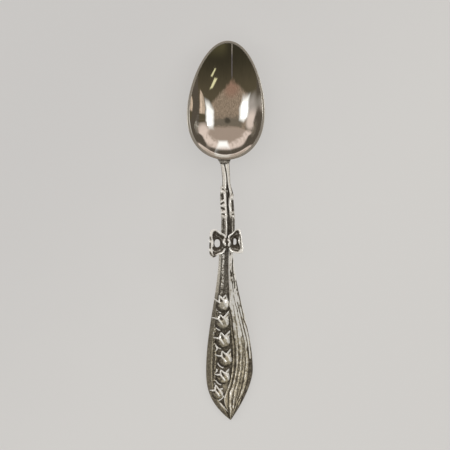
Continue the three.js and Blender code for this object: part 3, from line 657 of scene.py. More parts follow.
# %% Sheath ornament
PAIR_GROOVE = [-0.5, 0.22, 1.0, [[0.03, 9.6], [0.24, 12.3], [0.44, 15.4], [0.6, 18.6]]]
WIDE_GROOVE = [-0.5, 0.45, 1.0, [[0.75, 19.8], [0.95, 22.2], [0.98, 26.4]]]
LEFT_ORNAMENT = [
    PAIR_GROOVE,
    WIDE_GROOVE,
    [-0.22, 0.24, 0.9, [[-1.4, 9.95], [-1.05, 10.1]]],
    [0.16, 0.28, 0.0, [[-1.85, 10.7], [-0.7, 11.1]]],
    [-0.4, 0.55, 1.0, [[-1.65, 11.95], [-1.35, 13.2]]],
    [0.22, 0.25, -0.3, [[-0.58, 11.8], [-0.51, 13.15], [-1.06, 14.15], [-1.81, 14.2]]],
    [-0.26, 0.32, 0.85, [[-1.9, 15.1], [-0.95, 14.5]]],
    [0.2, 0.32, -0.3, [[-1.95, 15.7], [-0.75, 15.65]]],
    [-0.3, 0.38, 1.0, [[-1.8, 16.35], [-0.8, 16.85]]],
    [0.2, 0.34, -0.4, [[-1.85, 17.95], [-0.6, 17.8]]],
    [-0.24, 0.24, 0.95, [[-1.5, 18.4], [-0.75, 18.7]]],
    [0.16, 0.28, 0.1, [[-1.8, 19.35], [-0.75, 19.35]]],
    [-0.2, 0.2, 0.95, [[-1.0, 20.2], [-1.25, 26.2]]],
    [0.1, 0.14, 0.5, [[-1.5, 20.4], [-1.75, 26.2]]],
    [0.24, 0.24, -0.3, [[-0.38, 11.6], [-0.31, 15.4], [-0.17, 18.8], [-0.03, 22.2], [-0.1, 26.2]]],
]
RIGHT_ORNAMENT = [
    PAIR_GROOVE,
    WIDE_GROOVE,
    [-0.36, 0.48, 1.0, [[2.1, 14.0], [2.2, 15.7], [2.15, 17.2]]],
    [0.22, 0.24, -0.3, [[1.81, 12.65], [1.16, 13.65], [0.96, 15.35], [1.4, 17.6]]],
    [0.16, 0.22, -0.2, [[1.81, 12.65], [2.36, 13.5]]],
    [0.14, 0.22, 0.1, [[1.5, 17.85], [2.0, 18.05]]],
    [-0.26, 0.24, 0.95, [[1.95, 18.65], [2.35, 18.6]]],
    [-0.2, 0.2, 0.95, [[1.74, 19.5], [1.67, 26.2]]],
    [0.1, 0.14, 0.4, [[2.05, 19.4], [2.1, 26.2]]],
    [-0.16, 0.16, 0.95, [[2.35, 19.6], [2.5, 26.2]]],
]
SHEATH_SLANT = 0.9
print(len(LEFT_ORNAMENT), "lines on the left sheath,", len(RIGHT_ORNAMENT), "on the right one")

# %% Sheaths
def sheath(x_at, start, outward, radius, bore, ornament):
    angle = full_turn(72)[None, :]
    come = np.linspace(start, SHEATH_END, 200)[:, None]
    slant = SHEATH_SLANT * outward * (1 - smoothstep(come, start, start + 2 * SHEATH_SLANT))
    place = come - slant * np.cos(angle)
    x = x_at(come) + radius * np.cos(angle)
    plain = lerp(0.2, 0.62, smoothstep(come, 19.6, 20.4)) + 0 * x
    height, marks = relief(x, place, ornament, plain)
    top = smoothstep(np.sin(angle), -0.1, 0.35)
    start_edge = 1 - smoothstep(come, start, start + 0.35)
    full = radius + top * height - 0.12 * start_edge
    outer = on_handle(x_at(come) + full * np.cos(angle), place, STALK_RISE + full * np.sin(angle))
    inner = on_handle(x_at(come) + bore * np.cos(angle), place, STALK_RISE + bore * np.sin(angle))[::-8]
    rings = np.concatenate([outer, inner])
    floor = handle_back(-rings[..., 1]) + STEM_BAR + SOLDER / 2
    rings[..., 2] = np.maximum(rings[..., 2], floor)
    marks = np.concatenate([lerp(0.6, marks, top), np.ones(inner.shape[:2])])
    return skin(rings, marks, is_loop=True)


left_sleeve = sheath(left_stalk_x, LEFT_SHEATH_START, -1, LEFT_SHEATH_RADIUS, 0.9, LEFT_ORNAMENT)
right_sleeve = sheath(right_stalk_x, RIGHT_SHEATH_START, 1, RIGHT_SHEATH_RADIUS, 0.6, RIGHT_ORNAMENT)
make_piece("left_bud", [left_sleeve], "left_sheath", WORN)
make_piece("right_bud", [right_sleeve], "right_sheath", WORN)

# %% [markdown]
# ## The bow
# A bow's loop is a ribbon bent round on itself and seen end on, so from above it is a bright edge around a
# dark funnel with a small hole at the bottom. A bevelled curve would give the edge without the funnel. So
# each loop is a ring of profiles around its hole: up the outside, over a rounded lip, and down the funnel.
# The knot is a small pillow with two curled ends.

# %% Bow sizes
BOW = 28.4
BOW_RISE = STALK_RISE + LEFT_SHEATH_RADIUS + SOLDER
BOW_DEPTH = 1.69
BOW_KNOT_DEPTH = 0.5
BOW_SEAT = [0, -BOW, float(handle_back(BOW)) + BOW_RISE]
RIBBON = 0.52
RIBBON_TURN = 1.4
RIBBON_TURN_START = 0.7
LIP = 0.2
KNOT_WIDTH, KNOT_LENGTH, KNOT_HEIGHT = 2.9, 3.6, 2.5
KNOT_SINK = 0.7
LEFT_EDGE = [
    [-0.2, 2.3], [-2.2, 3.8], [-4.0, 4.75], [-5.5, 4.0], [-5.75, 0.4], [-5.75, -3.4], [-4.7, -4.85],
    [-3.2, -4.2], [-0.6, -2.7],
]
RIGHT_EDGE = [
    [0.6, 2.2], [2.0, 3.6], [3.6, 5.0], [4.7, 4.4], [5.2, 1.5], [5.65, -2.1], [5.4, -3.3], [3.1, -3.4],
    [1.0, -2.1],
]
LEFT_FRILLS = [
    [0.08, 0.18, 0.55, [[-3.5, 25.8], [-2.3, 26.4], [-1.3, 27.5]]],
    [0.08, 0.2, 0.5, [[-3.9, 31.2], [-2.5, 30.9], [-1.3, 29.8]]],
    [-0.2, 0.36, 0.8, [[-5.55, 26.4], [-5.3, 27.2]]],
    [-0.2, 0.4, 0.8, [[-5.6, 28.5], [-5.5, 30.1]]],
    [-0.2, 0.4, 0.8, [[-5.6, 31.4], [-5.0, 32.5]]],
    [0.12, 0.32, -0.4, [[-5.3, 25.6], [-5.0, 26.0]]],
    [0.15, 0.34, -0.4, [[-4.75, 27.5], [-4.7, 29.3]]],
    [0.15, 0.3, -0.4, [[-5.1, 30.6], [-4.6, 30.9]]],
    [-0.15, 0.35, 0.8, [[-4.5, 32.9], [-3.6, 32.7]]],
]
RIGHT_FRILLS = [
    [0.08, 0.18, 0.55, [[1.4, 27.0], [2.4, 25.9], [3.5, 25.2]]],
    [0.1, 0.16, 0.5, [[1.9, 30.2], [3.75, 30.5]]],
    [-0.12, 0.26, 0.75, [[4.5, 25.6], [4.75, 28.0], [4.95, 30.2]]],
]


def closed_line(corners, count):
    """A smooth closed run through corners, by a curve that bends evenly from one to the next."""
    corners = np.array(corners, float)
    ahead = np.roll(corners, -1, axis=0)
    behind = np.roll(corners, 1, axis=0)
    steps = np.linalg.norm(ahead - corners, axis=1) ** 0.5
    place = np.concatenate([[0], np.cumsum(steps)])
    slopes = (ahead - behind) / (steps + np.roll(steps, 1))[:, None]
    wanted = np.linspace(0, place[-1], count, endpoint=False)
    i = np.searchsorted(place, wanted, side="right") - 1
    j = (i + 1) % len(corners)
    t = ((wanted - place[i]) / steps[i])[:, None]
    return bend(t, steps[i][:, None], corners[i], slopes[i], corners[j], slopes[j])


print("bow", round(BOW_SEAT[2], 2), "mm above the floor")

# %% Loops
def loop(edge, hole, hole_half, frills):
    """Profiles around a hole: up the outside, over the lip and down the funnel."""
    front = closed_line(edge, 144)
    inward = np.array(hole) - front
    inward /= np.linalg.norm(inward, axis=1, keepdims=True)
    hole_edge = np.array(hole) - np.array(hole_half) * inward
    gap = np.linalg.norm(hole_edge - front, axis=1)[:, None]
    far = np.abs(front[:, :1])
    level = lerp(BOW_KNOT_DEPTH, BOW_DEPTH, smoothstep(far, 0, KNOT_WIDTH))
    turned = smoothstep(far / np.abs(np.array(edge)[:, 0]).max(), RIBBON_TURN_START, 1)
    width = lerp(RIBBON, RIBBON_TURN, turned)
    up = np.linspace(0, 1, 9)[None, :]
    over = np.linspace(0, math.pi, 13)[None, 1:-1]
    down = np.linspace(0, 1, 18)[None, :]
    inset = np.concatenate(
        [(1 - up) * (gap - RIBBON), width / 2 * (1 - np.cos(over)), lerp(width, gap, down)], axis=1
    )
    shoulder = level - LIP
    z = np.concatenate(
        [shoulder * up**1.5, shoulder + LIP * np.sin(over), shoulder * (1 - down) ** 1.15], axis=1
    )
    flat = front[:, None, :] + inward[:, None, :] * inset[..., None]
    on_top = np.concatenate([0 * up, 0 * over + 1, 1 - smoothstep(down, 0.6, 1)], axis=1)
    funnel = smoothstep(down, 0, 0.12) - 0.18 * bump(down, 0.42, 0.14)
    plain = np.concatenate([0 * up + 0.6, 0 * over - 0.3, funnel], axis=1)
    height, marks = relief(flat[..., 0], BOW - flat[..., 1], frills, plain + 0 * z)
    z = np.minimum(z + on_top * height, BOW_DEPTH)
    rings = np.concatenate([flat, z[..., None]], axis=2) + BOW_SEAT
    tones = 0.2 * mottle(flat[..., 0], flat[..., 1], 0.6, 0.5)
    return skin(rings, lerp(plain, marks, on_top) + tones, is_loop=True)


left_loop = loop(LEFT_EDGE, [-3.15, 0], [0.95, 1.35], LEFT_FRILLS)
right_loop = loop(RIGHT_EDGE, [2.75, 0.55], [0.6, 1.05], RIGHT_FRILLS)
make_piece("left_ribbon", [left_loop], "bow_left_loop", WORN)
make_piece("right_ribbon", [right_loop], "bow_right_loop", WORN)

# %% Knot
KNOT_ORNAMENT = [
    [0.2, 0.36, -0.5, [[-0.79, 27.1], [-1.05, 27.9], [-0.3, 28.9]]],
    [0.2, 0.36, -0.5, [[0.61, 27.1], [1.3, 27.9], [0.8, 29.1]]],
    [-0.4, 0.28, 1.0, [[0.15, 26.8], [0.1, 29.7]]],
]
knot_turn = np.linspace(0.03, math.pi - 0.03, 48)[:, None]
knot_angle = full_turn(64)[None, :]
waist = np.sin(knot_turn) ** 0.5
knot_x = KNOT_WIDTH / 2 * waist * np.cos(knot_angle)
knot_y = KNOT_LENGTH / 2 * np.cos(knot_turn) + 0 * knot_angle
knot_height, knot_marks = relief(knot_x, BOW - knot_y, KNOT_ORNAMENT, 0.8)
knot_top = smoothstep(np.sin(knot_angle), 0, 0.4)
knot_middle = KNOT_HEIGHT / 2 - KNOT_SINK
knot_half = KNOT_HEIGHT / 2 - 0.2
knot_z = knot_middle + knot_half * waist * np.sin(knot_angle) + knot_top * knot_height
knot_z = np.minimum(knot_z, BOW_DEPTH)
knot_rings = np.stack([knot_x, knot_y, knot_z], axis=2) + BOW_SEAT
knot = skin(knot_rings, lerp(0.7, knot_marks, knot_top))
make_piece("ribbon_knot", [knot], "bow_knot", WORN)

# %% [markdown]
# ## The leaves
# Two leaves make the flat of the handle. The back one is a dark stippled ground with a smooth rolled margin
# on its left; the front one overlaps it on the right, with long veins, and curls back on itself near the
# tip. Both are drawn as cross-sections from root to tip: along the bottom, and back across the top with one
# height for each place. A displaced plane would do as well, but sections follow the outline and the arch of
# the handle. The front leaf's tones are a random mottle, drawn out into streaks along the veins: partly
# wear, and partly painted glints and flecks of painted shade.

# %% Leaf outlines
LEAF_SHEET = 0.9
LEAF_WIDEST = 72.0
LEAF_TIP = 1.4
LEAF_TIP_HALF_WIDTH = 0.15
MARGIN_ROOT_WIDTH, MARGIN_WIDTH, MARGIN_RISE = 0.9, 1.9, 0.6
SWELL_WIDTH = 3.05
LEAF_CROWN = 0.45
LEAF_BACK_MARK = 0.1


def leaf_edge(come, root, wide, fullness, side):
    upper = side * lerp(root, wide, smoothstep(come, ROOT, LEAF_WIDEST))
    from_tip = np.clip((HANDLE_LENGTH - come) / (HANDLE_LENGTH - LEAF_WIDEST), 0, 1)
    tip = LEAF_TIP + side * LEAF_TIP_HALF_WIDTH
    return np.where(come < LEAF_WIDEST, upper, lerp(tip, side * wide, 1 - (1 - from_tip) ** fullness))


def leaf_sheet(come, left, right, bottom, top, marks):
    """A solid between a flat bottom and a top given on a grid from right to left."""
    count = top.shape[1] // 3
    below = np.linspace(0, 1, count + 2)[None, 1:-1]
    across = np.linspace(1, 0, top.shape[1])[None, :]
    x = np.concatenate([lerp(left, right, below), lerp(left, right, across)], axis=1)
    rise = np.concatenate([bottom + 0 * below + 0 * left, top], axis=1)
    all_marks = np.concatenate([LEAF_BACK_MARK + 0 * below + 0 * left, marks], axis=1)
    return skin(on_handle(x, come, rise), all_marks)


leaf_come = HANDLE_LENGTH - (HANDLE_LENGTH - ROOT) * np.linspace(1, 0, 300)[:, None] ** 1.2
print(f"leaf from {leaf_come[0, 0]:.1f} to {leaf_come[-1, 0]:.1f} mm, {len(leaf_come)} sections")

# %% Back leaf
GROUND_LINES = [
    [0.0, 0.9, 0.5, [[-0.6, 76.3], [-0.4, 78.8]]],
    [-0.12, 0.25, 1.0, [[-1.7, 83.0], [0.8, 85.8]]],
    [0.16, 0.18, -0.1, [[-2.22, 83.5], [0.5, 86.4]]],
]
left = leaf_edge(leaf_come, 2.5, 7.0, 2.7, -1)
right = leaf_edge(leaf_come, 2.2, LEAF_WIDE_RIGHT, 1.6, 1)
across = np.linspace(1, 0, 150)[None, :]
x = lerp(left, right, across)
margin = lerp(MARGIN_ROOT_WIDTH, MARGIN_WIDTH, smoothstep(leaf_come, ROOT, LEAF_WIDEST))
margin = np.minimum(margin, 0.3 * (right - left))
from_root = smoothstep(leaf_come, ROOT, ROOT + 1.9)
fade = from_root * (1 - smoothstep(leaf_come, HANDLE_LENGTH - 3.8, HANDLE_LENGTH))
inside_margin = np.clip(1 - ((x - left - margin / 2) / (margin / 2)) ** 2, 0, 1)
is_margin = smoothstep(left + margin - x, -0.1, 0.1)
inner_line = bump(x, left + margin, 0.16) * smoothstep(leaf_come, 46, 56) * fade
stipple = rng.uniform(-1, 1, x.shape) * (1 - is_margin) * smoothstep(right - x, 0, 0.6)
margin_mark = lerp(0.26, 0.66, smoothstep(leaf_come, 40, 54))
ground_mark = lerp(0.7, 0.82, smoothstep(leaf_come, 40, 50))
plain = lerp(ground_mark + 0.34 * stipple, margin_mark, is_margin)
height, ground = relief(x, leaf_come + 0 * x, GROUND_LINES, plain)
ground = ground - 0.6 * inner_line
margin_roll = MARGIN_RISE * fade * np.sqrt(inside_margin)
top = LEAF_SHEET + margin_roll + 0.12 * inner_line + 0.05 * stipple + height * fade
back_leaf = leaf_sheet(leaf_come, left, right, 0, top, ground)
make_piece("back_leaf", [back_leaf], "left_leaf", OXIDISED)

# %% Veins of the front leaf
FRONT_EDGE = [
    [30, 0.75], [37, 0.65], [41, 0.75], [45, 0.92], [48.5, 1.05], [50.2, 0.75], [52, 0.6], [55.3, 1.05],
    [59.5, 1.5], [63.5, 1.85], [67.6, 2.05], [70.5, 1.85], [73.8, 1.6], [75.8, 1.2], [77.9, 0.5],
    [80, -0.4], [82.5, -0.95], [84.2, -0.6], [86, 0.2], [88, 1.0], [89.2, 1.25],
]
FOLD_CREASE = [
    [30, 0.75], [48.5, 0.75], [51.2, 1.2], [55.3, 1.9], [59.5, 2.3], [63.5, 2.9], [68, 3.0], [71.8, 2.8],
    [75.8, 2.15], [77.9, 1.5], [80, 0.8], [82, 0.7], [86, 0.7], [89.2, 1.3],
]
BAND_EDGE = [
    [62, 7.4], [68, 7.6], [72, 7.5], [75.8, 6.8], [79.9, 5.7], [82, 4.9], [84, 3.9], [86.1, 2.7],
    [89.2, 1.3],
]
VEINS = [
    [-0.1, 0.24, 0.95, [[2.05, 34], [2.05, 37.8], [2.4, 39.8], [2.75, 42.3], [2.8, 43.8]]],
    [-0.08, 0.16, 0.6, [[1.85, 41.5], [2.4, 45]]],
    [-0.08, 0.16, 0.6, [[2.5, 46.5], [2.9, 48.5], [3.2, 50]]],
    [-0.12, 0.18, 0.55, [[2.35, 49.6], [3.1, 55.3], [3.7, 59.5], [4.2, 63.5]]],
    [-0.16, 0.24, 0.7, [[4.2, 63.5], [4.35, 68], [4.2, 71.8], [3.35, 75.8], [2.4, 80], [1.6, 84]]],
    [-0.14, 0.2, 0.65, [[3.4, 50], [4.5, 55.3], [5.5, 59.5], [6.15, 62.3], [6.3, 66.5]]],
    [-0.14, 0.2, 0.6, [[5.1, 60.5], [5.75, 64]]],
    [-0.16, 0.24, 0.65, [[5.75, 64], [5.7, 68], [5.3, 71.8], [4.7, 75.8], [3.6, 80], [2.6, 83.5]]],
    [-0.14, 0.22, 0.85, [[6.3, 66.5], [6.5, 69.7], [6.1, 73.8], [5.2, 77.9], [4.0, 82]]],
    [-0.16, 0.2, 0.8, [[3.76, 48.7], [4.9, 53.2], [5.95, 57.5], [6.95, 61.5], [7.3, 64]]],
    [-0.16, 0.26, 0.95, [[7.3, 64], [7.7, 68], [7.7, 71.8], [7.2, 75.8], [6.0, 80], [4.8, 83.5]]],
    [-0.12, 0.2, 0.85, [[3.3, 41.0], [3.8, 44.3], [4.45, 47.3], [5.05, 50.1], [6.0, 54.8], [6.83, 56.9]]],
    [-0.12, 0.18, 0.7, [[6.83, 56.9], [7.5, 59.6], [8.2, 62.35], [8.6, 65.6], [8.8, 68]]],
    [0.1, 0.2, -0.5, [[3.0, 43.9], [3.66, 46.7], [4.3, 49.2]]],
    [0.12, 0.17, 0.08, [[1.9, 51.3], [2.9, 57], [3.6, 62], [3.7, 68], [3.55, 71.8], [2.75, 75.8],
                        [1.65, 80], [1.3, 85], [1.4, 88]]],
    [0.12, 0.2, -0.4, [[2.9, 51.3], [3.8, 55.3], [4.7, 60]]],
    [0.12, 0.17, 0.12, [[4.7, 60], [5.1, 66], [4.85, 71.8], [4.1, 75.8], [2.95, 80], [2.3, 85]]],
    [0.12, 0.2, -0.4, [[4.0, 52], [5.4, 57.4], [6.3, 61.5]]],
    [0.12, 0.16, 0.1, [[6.3, 61.5], [7.05, 67.7], [6.7, 73.8], [5.9, 77.9], [5.0, 80.5], [4.3, 82]]],
    [0.1, 0.2, -0.3, [[6.5, 57.4], [7.3, 61.5], [8.0, 65.6], [8.1, 68]]],
]
print(len(VEINS), "veins and lines on the front leaf")

# %% Tones of the front leaf
front_left = along_line(FRONT_EDGE)(leaf_come)
crease = along_line(FOLD_CREASE)(leaf_come)
across = np.linspace(1, 0, 240)[None, :]
x = lerp(front_left, right, across)
is_leaf = smoothstep(x - crease, -0.25, 0.25)
folded = smoothstep(leaf_come, 49, 51.5)
darker = smoothstep(leaf_come, 50, 70)
band = smoothstep(leaf_come, 62, 70) * smoothstep(x - along_line(BAND_EDGE)(leaf_come), 0, 0.5)
swing = 0.3 * np.sin(leaf_come / 4.1) + 0.15 * np.sin(leaf_come / 1.7)
fine = np.sin(2 * math.pi * (1.35 * (x - crease) + swing)) * (0.6 + 0.4 * np.sin(leaf_come / 0.9 + 3 * x))
near_tip = smoothstep(leaf_come, 78, 86)
fan = 12 * (x - crease) / np.maximum(right - crease, 1.0)
# Painted glints: flecks of painted highlight and painted shade, short towards the root and long towards the
# tip.
short_glints = 0.8 * mottle(x - crease, leaf_come, 0.36, 0.6)
long_glints = 0.6 * mottle(2 * fan, leaf_come, 1.0, 1.1)
sparkle = lerp(short_glints, long_glints, smoothstep(leaf_come, 50, 60))
streaks = 0.7 * mottle(fan, leaf_come, 1.0, 2.6) + sparkle
streaks = streaks * smoothstep(right - x, 0, 0.4)
plain = lerp(-0.2, 0.42, darker) + 0.2 * fine + lerp(1.1, 0.5, darker) * streaks + 0.15 * near_tip
root_shade = bump(x, 1.0 + (leaf_come - 30) / 12, 0.4) * (1 - smoothstep(leaf_come, 43, 48))
plain = lerp(plain + 0.25 * root_shade, 0.76, band)
fold_mark = lerp(0.85, 0.36, smoothstep(x - front_left, 0.05, 0.4))
plain = lerp(fold_mark, plain, np.maximum(is_leaf, 1 - folded))
plain = lerp(plain, 1.0, folded * bump(x, crease, 0.28) * (1 - smoothstep(leaf_come, 84, 88)))
print(f"tarnish of the front leaf {plain.mean():.2f} on average, before its veins")

# %% Front leaf
width = right - front_left
swell = smoothstep(width, 0, SWELL_WIDTH)
height, marks = relief(x, leaf_come + 0 * x, VEINS, plain)
on_curl = smoothstep(leaf_come, 70, 76) * (1 - smoothstep(leaf_come, 83, 86))
fold_line = bump(x, front_left + 0.3, 0.2) * on_curl
marks = lerp(marks, 0.05, fold_line)
marks = lerp(marks, 0.1, bump(x, front_left + 0.2, 0.3) * (1 - smoothstep(leaf_come, 46, 49)))
round_left = 0.3 * bump(across * width, 0, 0.2)
round_right = 0.3 * bump((1 - across) * width, 0, 0.2)
level = 0.5 * (is_leaf - 1) * folded + LEAF_CROWN * np.sin(np.pi * across) + height + 0.1 * fold_line
level = level - 0.2 * folded * bump(x, crease, 0.3) + 0.015 * fine * (1 - band)
top = LEAF_SHEET * 2 + SOLDER + swell * level - round_left - round_right
front_leaf = leaf_sheet(leaf_come, front_left, right, LEAF_SHEET + SOLDER, top, marks)
make_piece("front_leaf", [front_leaf], "right_leaf", WORN)

# %% [markdown]
# ## The flowers
# One thin stalk runs up between the leaves, and six bells hang from it with their mouths towards the bowl.
# A lathe could turn a whole bell, but these lie half sunk in the ground, so each is a relief: a dome whose
# upper edge is a zigzag lip of three petal points. The lip is given by its five corners, and the body by an
# ellipse. A thin wire along the lip makes it look rolled over.

# %% Flower stalk and bracts
FLOWER_ROUTE = [
    [31, -1.05], [38, -1.25], [44.5, -1.65], [49.5, -2.6], [55.1, -3.5], [61.7, -4.2], [68.3, -3.7],
    [74.1, -4.1], [80.5, -4.4],
]
BRACTS = [
    [[-4.4, 58.6], [-4.65, 59.8]],
    [[-3.65, 63.6], [-3.15, 64.7], [-3.8, 65.8]],
    [[-3.45, 71.6], [-3.25, 72.4], [-4.0, 73.2]],
    [[-4.3, 76.2], [-3.9, 77.4]],
]
FLOWER_SIDES = 16
stalk_come = np.linspace(31, 80.5, 260)
flower_x = along_line(FLOWER_ROUTE)(stalk_come)
flower_floor = LEAF_SHEET + SOLDER / 2
flower_path = on_handle(flower_x, stalk_come, LEAF_SHEET + SOLDER)
beads = lerp(0.46, 0.36, smoothstep(stalk_come, 43, 48)) + 0.04 * np.sin(stalk_come * 7.3)
worn = lerp(0.3, 0.7, smoothstep(stalk_come, 44, 49))[:, None]
stipples = worn + 0.8 * mottle(np.arange(FLOWER_SIDES)[None, :], stalk_come[:, None], 2.0, 0.26)
wires = [tube(flower_path, beads, stipples, handle_back(stalk_come) + flower_floor, FLOWER_SIDES)]
for bract in BRACTS:
    share = np.linspace(0, 1, 24)
    bract_x, bract_come = resample(bract, len(share)).T
    thick = 0.26 * (1 - 0.75 * np.abs(2 * share - 1) ** 2)
    floor_here = handle_back(bract_come) + flower_floor
    wires.append(tube(on_handle(bract_x, bract_come, LEAF_SHEET + 0.2), thick, -0.2, floor_here))
make_piece("flower_stem", wires, "flower_stalk", WORN)

# %% Bells
BELL_SEATS = [[-1.35, 49.4], [-1.55, 55.5], [-1.3, 62.0], [-0.5, 68.6], [-1.25, 74.6], [-3.2, 80.1]]
BELL_HALF = [[2.3, 2.6], [2.45, 2.6], [2.5, 2.5], [2.4, 2.5], [2.35, 2.35], [2.1, 2.2]]
BELL_LIPS = [
    [[-4.3, 47.2], [-2.6, 48.3], [-2.45, 46.1], [-1.5, 47.2], [-0.15, 45.9]],
    [[-5.15, 53.7], [-3.0, 54.1], [-2.1, 52.8], [-1.0, 53.75], [0.9, 51.5]],
    [[-4.55, 60.65], [-2.6, 60.9], [-1.85, 58.95], [-0.65, 60.25], [1.3, 58.3]],
    [[-4.05, 66.75], [-1.85, 67.1], [-1.5, 65.4], [-0.05, 66.5], [1.4, 64.7]],
    [[-4.15, 73.45], [-2.2, 73.45], [-2.0, 71.9], [-0.5, 73.0], [0.95, 71.5]],
    [[-5.75, 78.95], [-4.05, 78.8], [-3.7, 77.1], [-2.55, 78.6], [-1.15, 78.25]],
]
# Painted light on the first bell: flat facets with no rise, painted lighter or darker as light falls on
# them, one of them a white painted highlight.
FIRST_BELL_PAINTED_FACETS = [
    [0.0, 0.6, 0.3, [[-1.7, 48.9], [-1.35, 50.0]]],
    [0.0, 0.5, 0.85, [[-3.2, 49.0], [-3.0, 50.3], [-2.4, 51.2]]],
    [0.0, 0.5, 0.8, [[-2.0, 51.4], [-0.8, 51.5]]],
    [0.0, 0.5, -0.5, [[-0.45, 48.1], [0.1, 49.8]]],
]
BELL_DOME = 1.5
BELL_LIP_LEVEL = 0.75
LIP_WIRE = 0.2


def bell_outline(seat, half, lip, count):
    """Closed line: the zigzag lip, then the body from the right side round to the left."""
    angle = np.radians(np.linspace(30, -205, 60))
    body = np.stack([seat[0] + half[0] * np.cos(angle), seat[1] - half[1] * np.sin(angle)], axis=1)
    corners = np.concatenate([lip, body, lip[:1]])
    place = np.concatenate([[0], np.cumsum(np.linalg.norm(np.diff(corners, axis=0), axis=1))])
    wanted = np.linspace(0, place[-1], count, endpoint=False)
    return np.stack([np.interp(wanted, place, corners[:, axis]) for axis in range(2)], axis=1)


def bell(seat, half, lip, painted_facets):
    """A dome on an ellipse, with petals up to the lip, folds drawn from the lip's corners, and painted
    light and shade on the body.
    """
    seat, half, lip = np.array(seat), np.array(half), np.array(lip)
    left_tip, notch, middle_tip, valley, right_tip = lip
    hollow = (notch + middle_tip + valley) / 3 + [0.1, 0.35]
    mouth = (notch + valley) / 2
    left_fold = [lerp(left_tip, notch, 0.3) + [0.1, 0.5], lerp(left_tip, notch, 0.8) + [0.2, 0.9]]
    right_fold = [lerp(valley, right_tip, 0.4) + [0.4, 0.5], lerp(valley, right_tip, 0.7) + [0.3, 0.5]]
    # Folds and the hollow are grooves, dark with oxide. The strokes from the notch and the valley are
    # ridges, rubbed bright and painted as highlights too. The patch below the mouth is a painted mid-tone
    # of light with no rise, the short line by the valley is a painted glint, and the lines along the lip
    # paint it white as a highlight.
    lines = [
        [0.0, 0.8, 0.35, [mouth + [0.5, 1.2], mouth + [1.3, 2.4]]],
        [-0.3, 0.42, 1.0, [lerp(hollow, middle_tip, 0.3), hollow + [0.35, 0.7]]],
        [-0.2, 0.42, 1.0, left_fold],
        [-0.15, 0.3, 0.8, right_fold],
        [0.18, 0.27, -0.4, [notch, notch + [0.9, 1.1], notch + [1.6, 2.1]]],
        [0.18, 0.27, -0.4, [valley, valley + [0.9, 1.1], valley + [1.5, 2.1]]],
        [0.1, 0.45, -0.6, [valley + [1.3, 1.7], valley + [1.5, 2.2]]],
        [0.2, 0.3, -0.7, lip + [0.05, 0.18]],
        [0.15, 0.36, -0.8, [left_tip + [0.1, 0.1], lerp(left_tip, notch, 0.6) + [0, 0.15]]],
    ] + painted_facets
    outline = bell_outline(seat, half, lip, 170)
    share = np.linspace(0.02, 1, 34)[:, None, None]
    flat = seat + (outline - seat)[None] * share
    x, come = flat[..., 0], flat[..., 1]
    away = np.hypot((x - seat[0]) / half[0], (come - seat[1]) / half[1])
    dome = BELL_DOME * np.sqrt(np.clip(1 - away**2, 0, 1))
    petals = BELL_LIP_LEVEL * smoothstep((seat[1] - come) / half[1], 0.1, 0.5)
    # Painted shade on the body: darker towards the left and the handle's end, lighter towards the right and
    # the bowl, as light falls on a round bell, and darker at its foot.
    side = (x - seat[0]) / half[0] - 0.5 * (come - seat[1]) / half[1]
    painted_foot_shade = smoothstep(away, 0.6, 1) * (1 - smoothstep(seat[1] - come, 0, 1))
    plain = 0.4 - 0.36 * side + 0.4 * painted_foot_shade
    height, marks = relief(x, come, lines, plain + 0.2 * mottle(x, come, 0.5, 0.5))
    rise = np.maximum(dome, petals) + height
    top = on_handle(x, come, LEAF_SHEET + 0.05 + np.maximum(rise, 0.02))
    wall = on_handle(x[-1:], come[-1:], LEAF_SHEET + 0.02)
    base = on_handle(x[:1], come[:1], LEAF_SHEET + 0.02)
    marks = np.concatenate([marks, np.ones((2, marks.shape[1]))])
    return skin(np.concatenate([top, wall, base]), marks)


def rolled_lip(lip):
    """A thin wire along the zigzag mouth of a bell, with rounded corners."""
    share = np.linspace(0, 1, 61)
    line = resample(lip, len(share))
    padded = np.concatenate([line[:1]] * 2 + [line] + [line[-1:]] * 2)
    line = sum(padded[i:i + len(line)] for i in range(5)) / 5
    path = on_handle(line[:, 0], line[:, 1] + LIP_WIRE / 2, LEAF_SHEET + BELL_LIP_LEVEL + LIP_WIRE / 2)
    thick = LIP_WIRE * lerp(0.8, 1, np.sin(np.pi * share) ** 0.4)
    # The lip wire is made bright: rubbed clean, and a painted highlight as well.
    return tube(path, thick, -0.8)


for number, (seat, half, lip) in enumerate(zip(BELL_SEATS, BELL_HALF, BELL_LIPS), start=1):
    flower = bell(seat, half, lip, FIRST_BELL_PAINTED_FACETS if number == 1 else [])
    make_piece(f"flower_{number}", [flower, rolled_lip(lip)], f"bell_{number}", WORN)

# %% Little stems of the bells
PEDICEL_RADIUS = 0.22
for number, (seat, half) in enumerate(zip(BELL_SEATS, BELL_HALF), start=1):
    side = 1 if number == len(BELL_SEATS) else -1
    turn = np.radians(np.linspace(20, 78, 30))
    stem_x = seat[0] + side * (half[0] + 0.3) * np.cos(turn)
    stem_place = seat[1] + (half[1] + 0.3) * np.sin(turn)
    path = on_handle(stem_x, stem_place, LEAF_SHEET + 0.15)
    stem = tube(path, PEDICEL_RADIUS, -0.1, handle_back(stem_place) + LEAF_SHEET + 0.05)
    make_piece(f"flower_stem_{number}", [stem], f"pedicel_{number}", WORN)

# %% [markdown]
# ## The floor, the light and the camera
# The spoon was photographed from straight above on a plain pale sheet. Polished metal shows only what it
# mirrors, so the studio matters as much as the metal: three soft boxes, two of them with a bright core, a
# side strip, a pale wall and a crescent past the bowl's tip, a dark room on the handle's side, a warm
# ceiling, and a dark band at the horizon. They could be planes with light, but a world made of soft-edged
# patches is simpler. A direction is flattened to u and v, as a map of the sky seen from below: (0, 0) is
# straight up, u runs to the right, v towards the bowl's tip, and the horizon is the circle at 1.

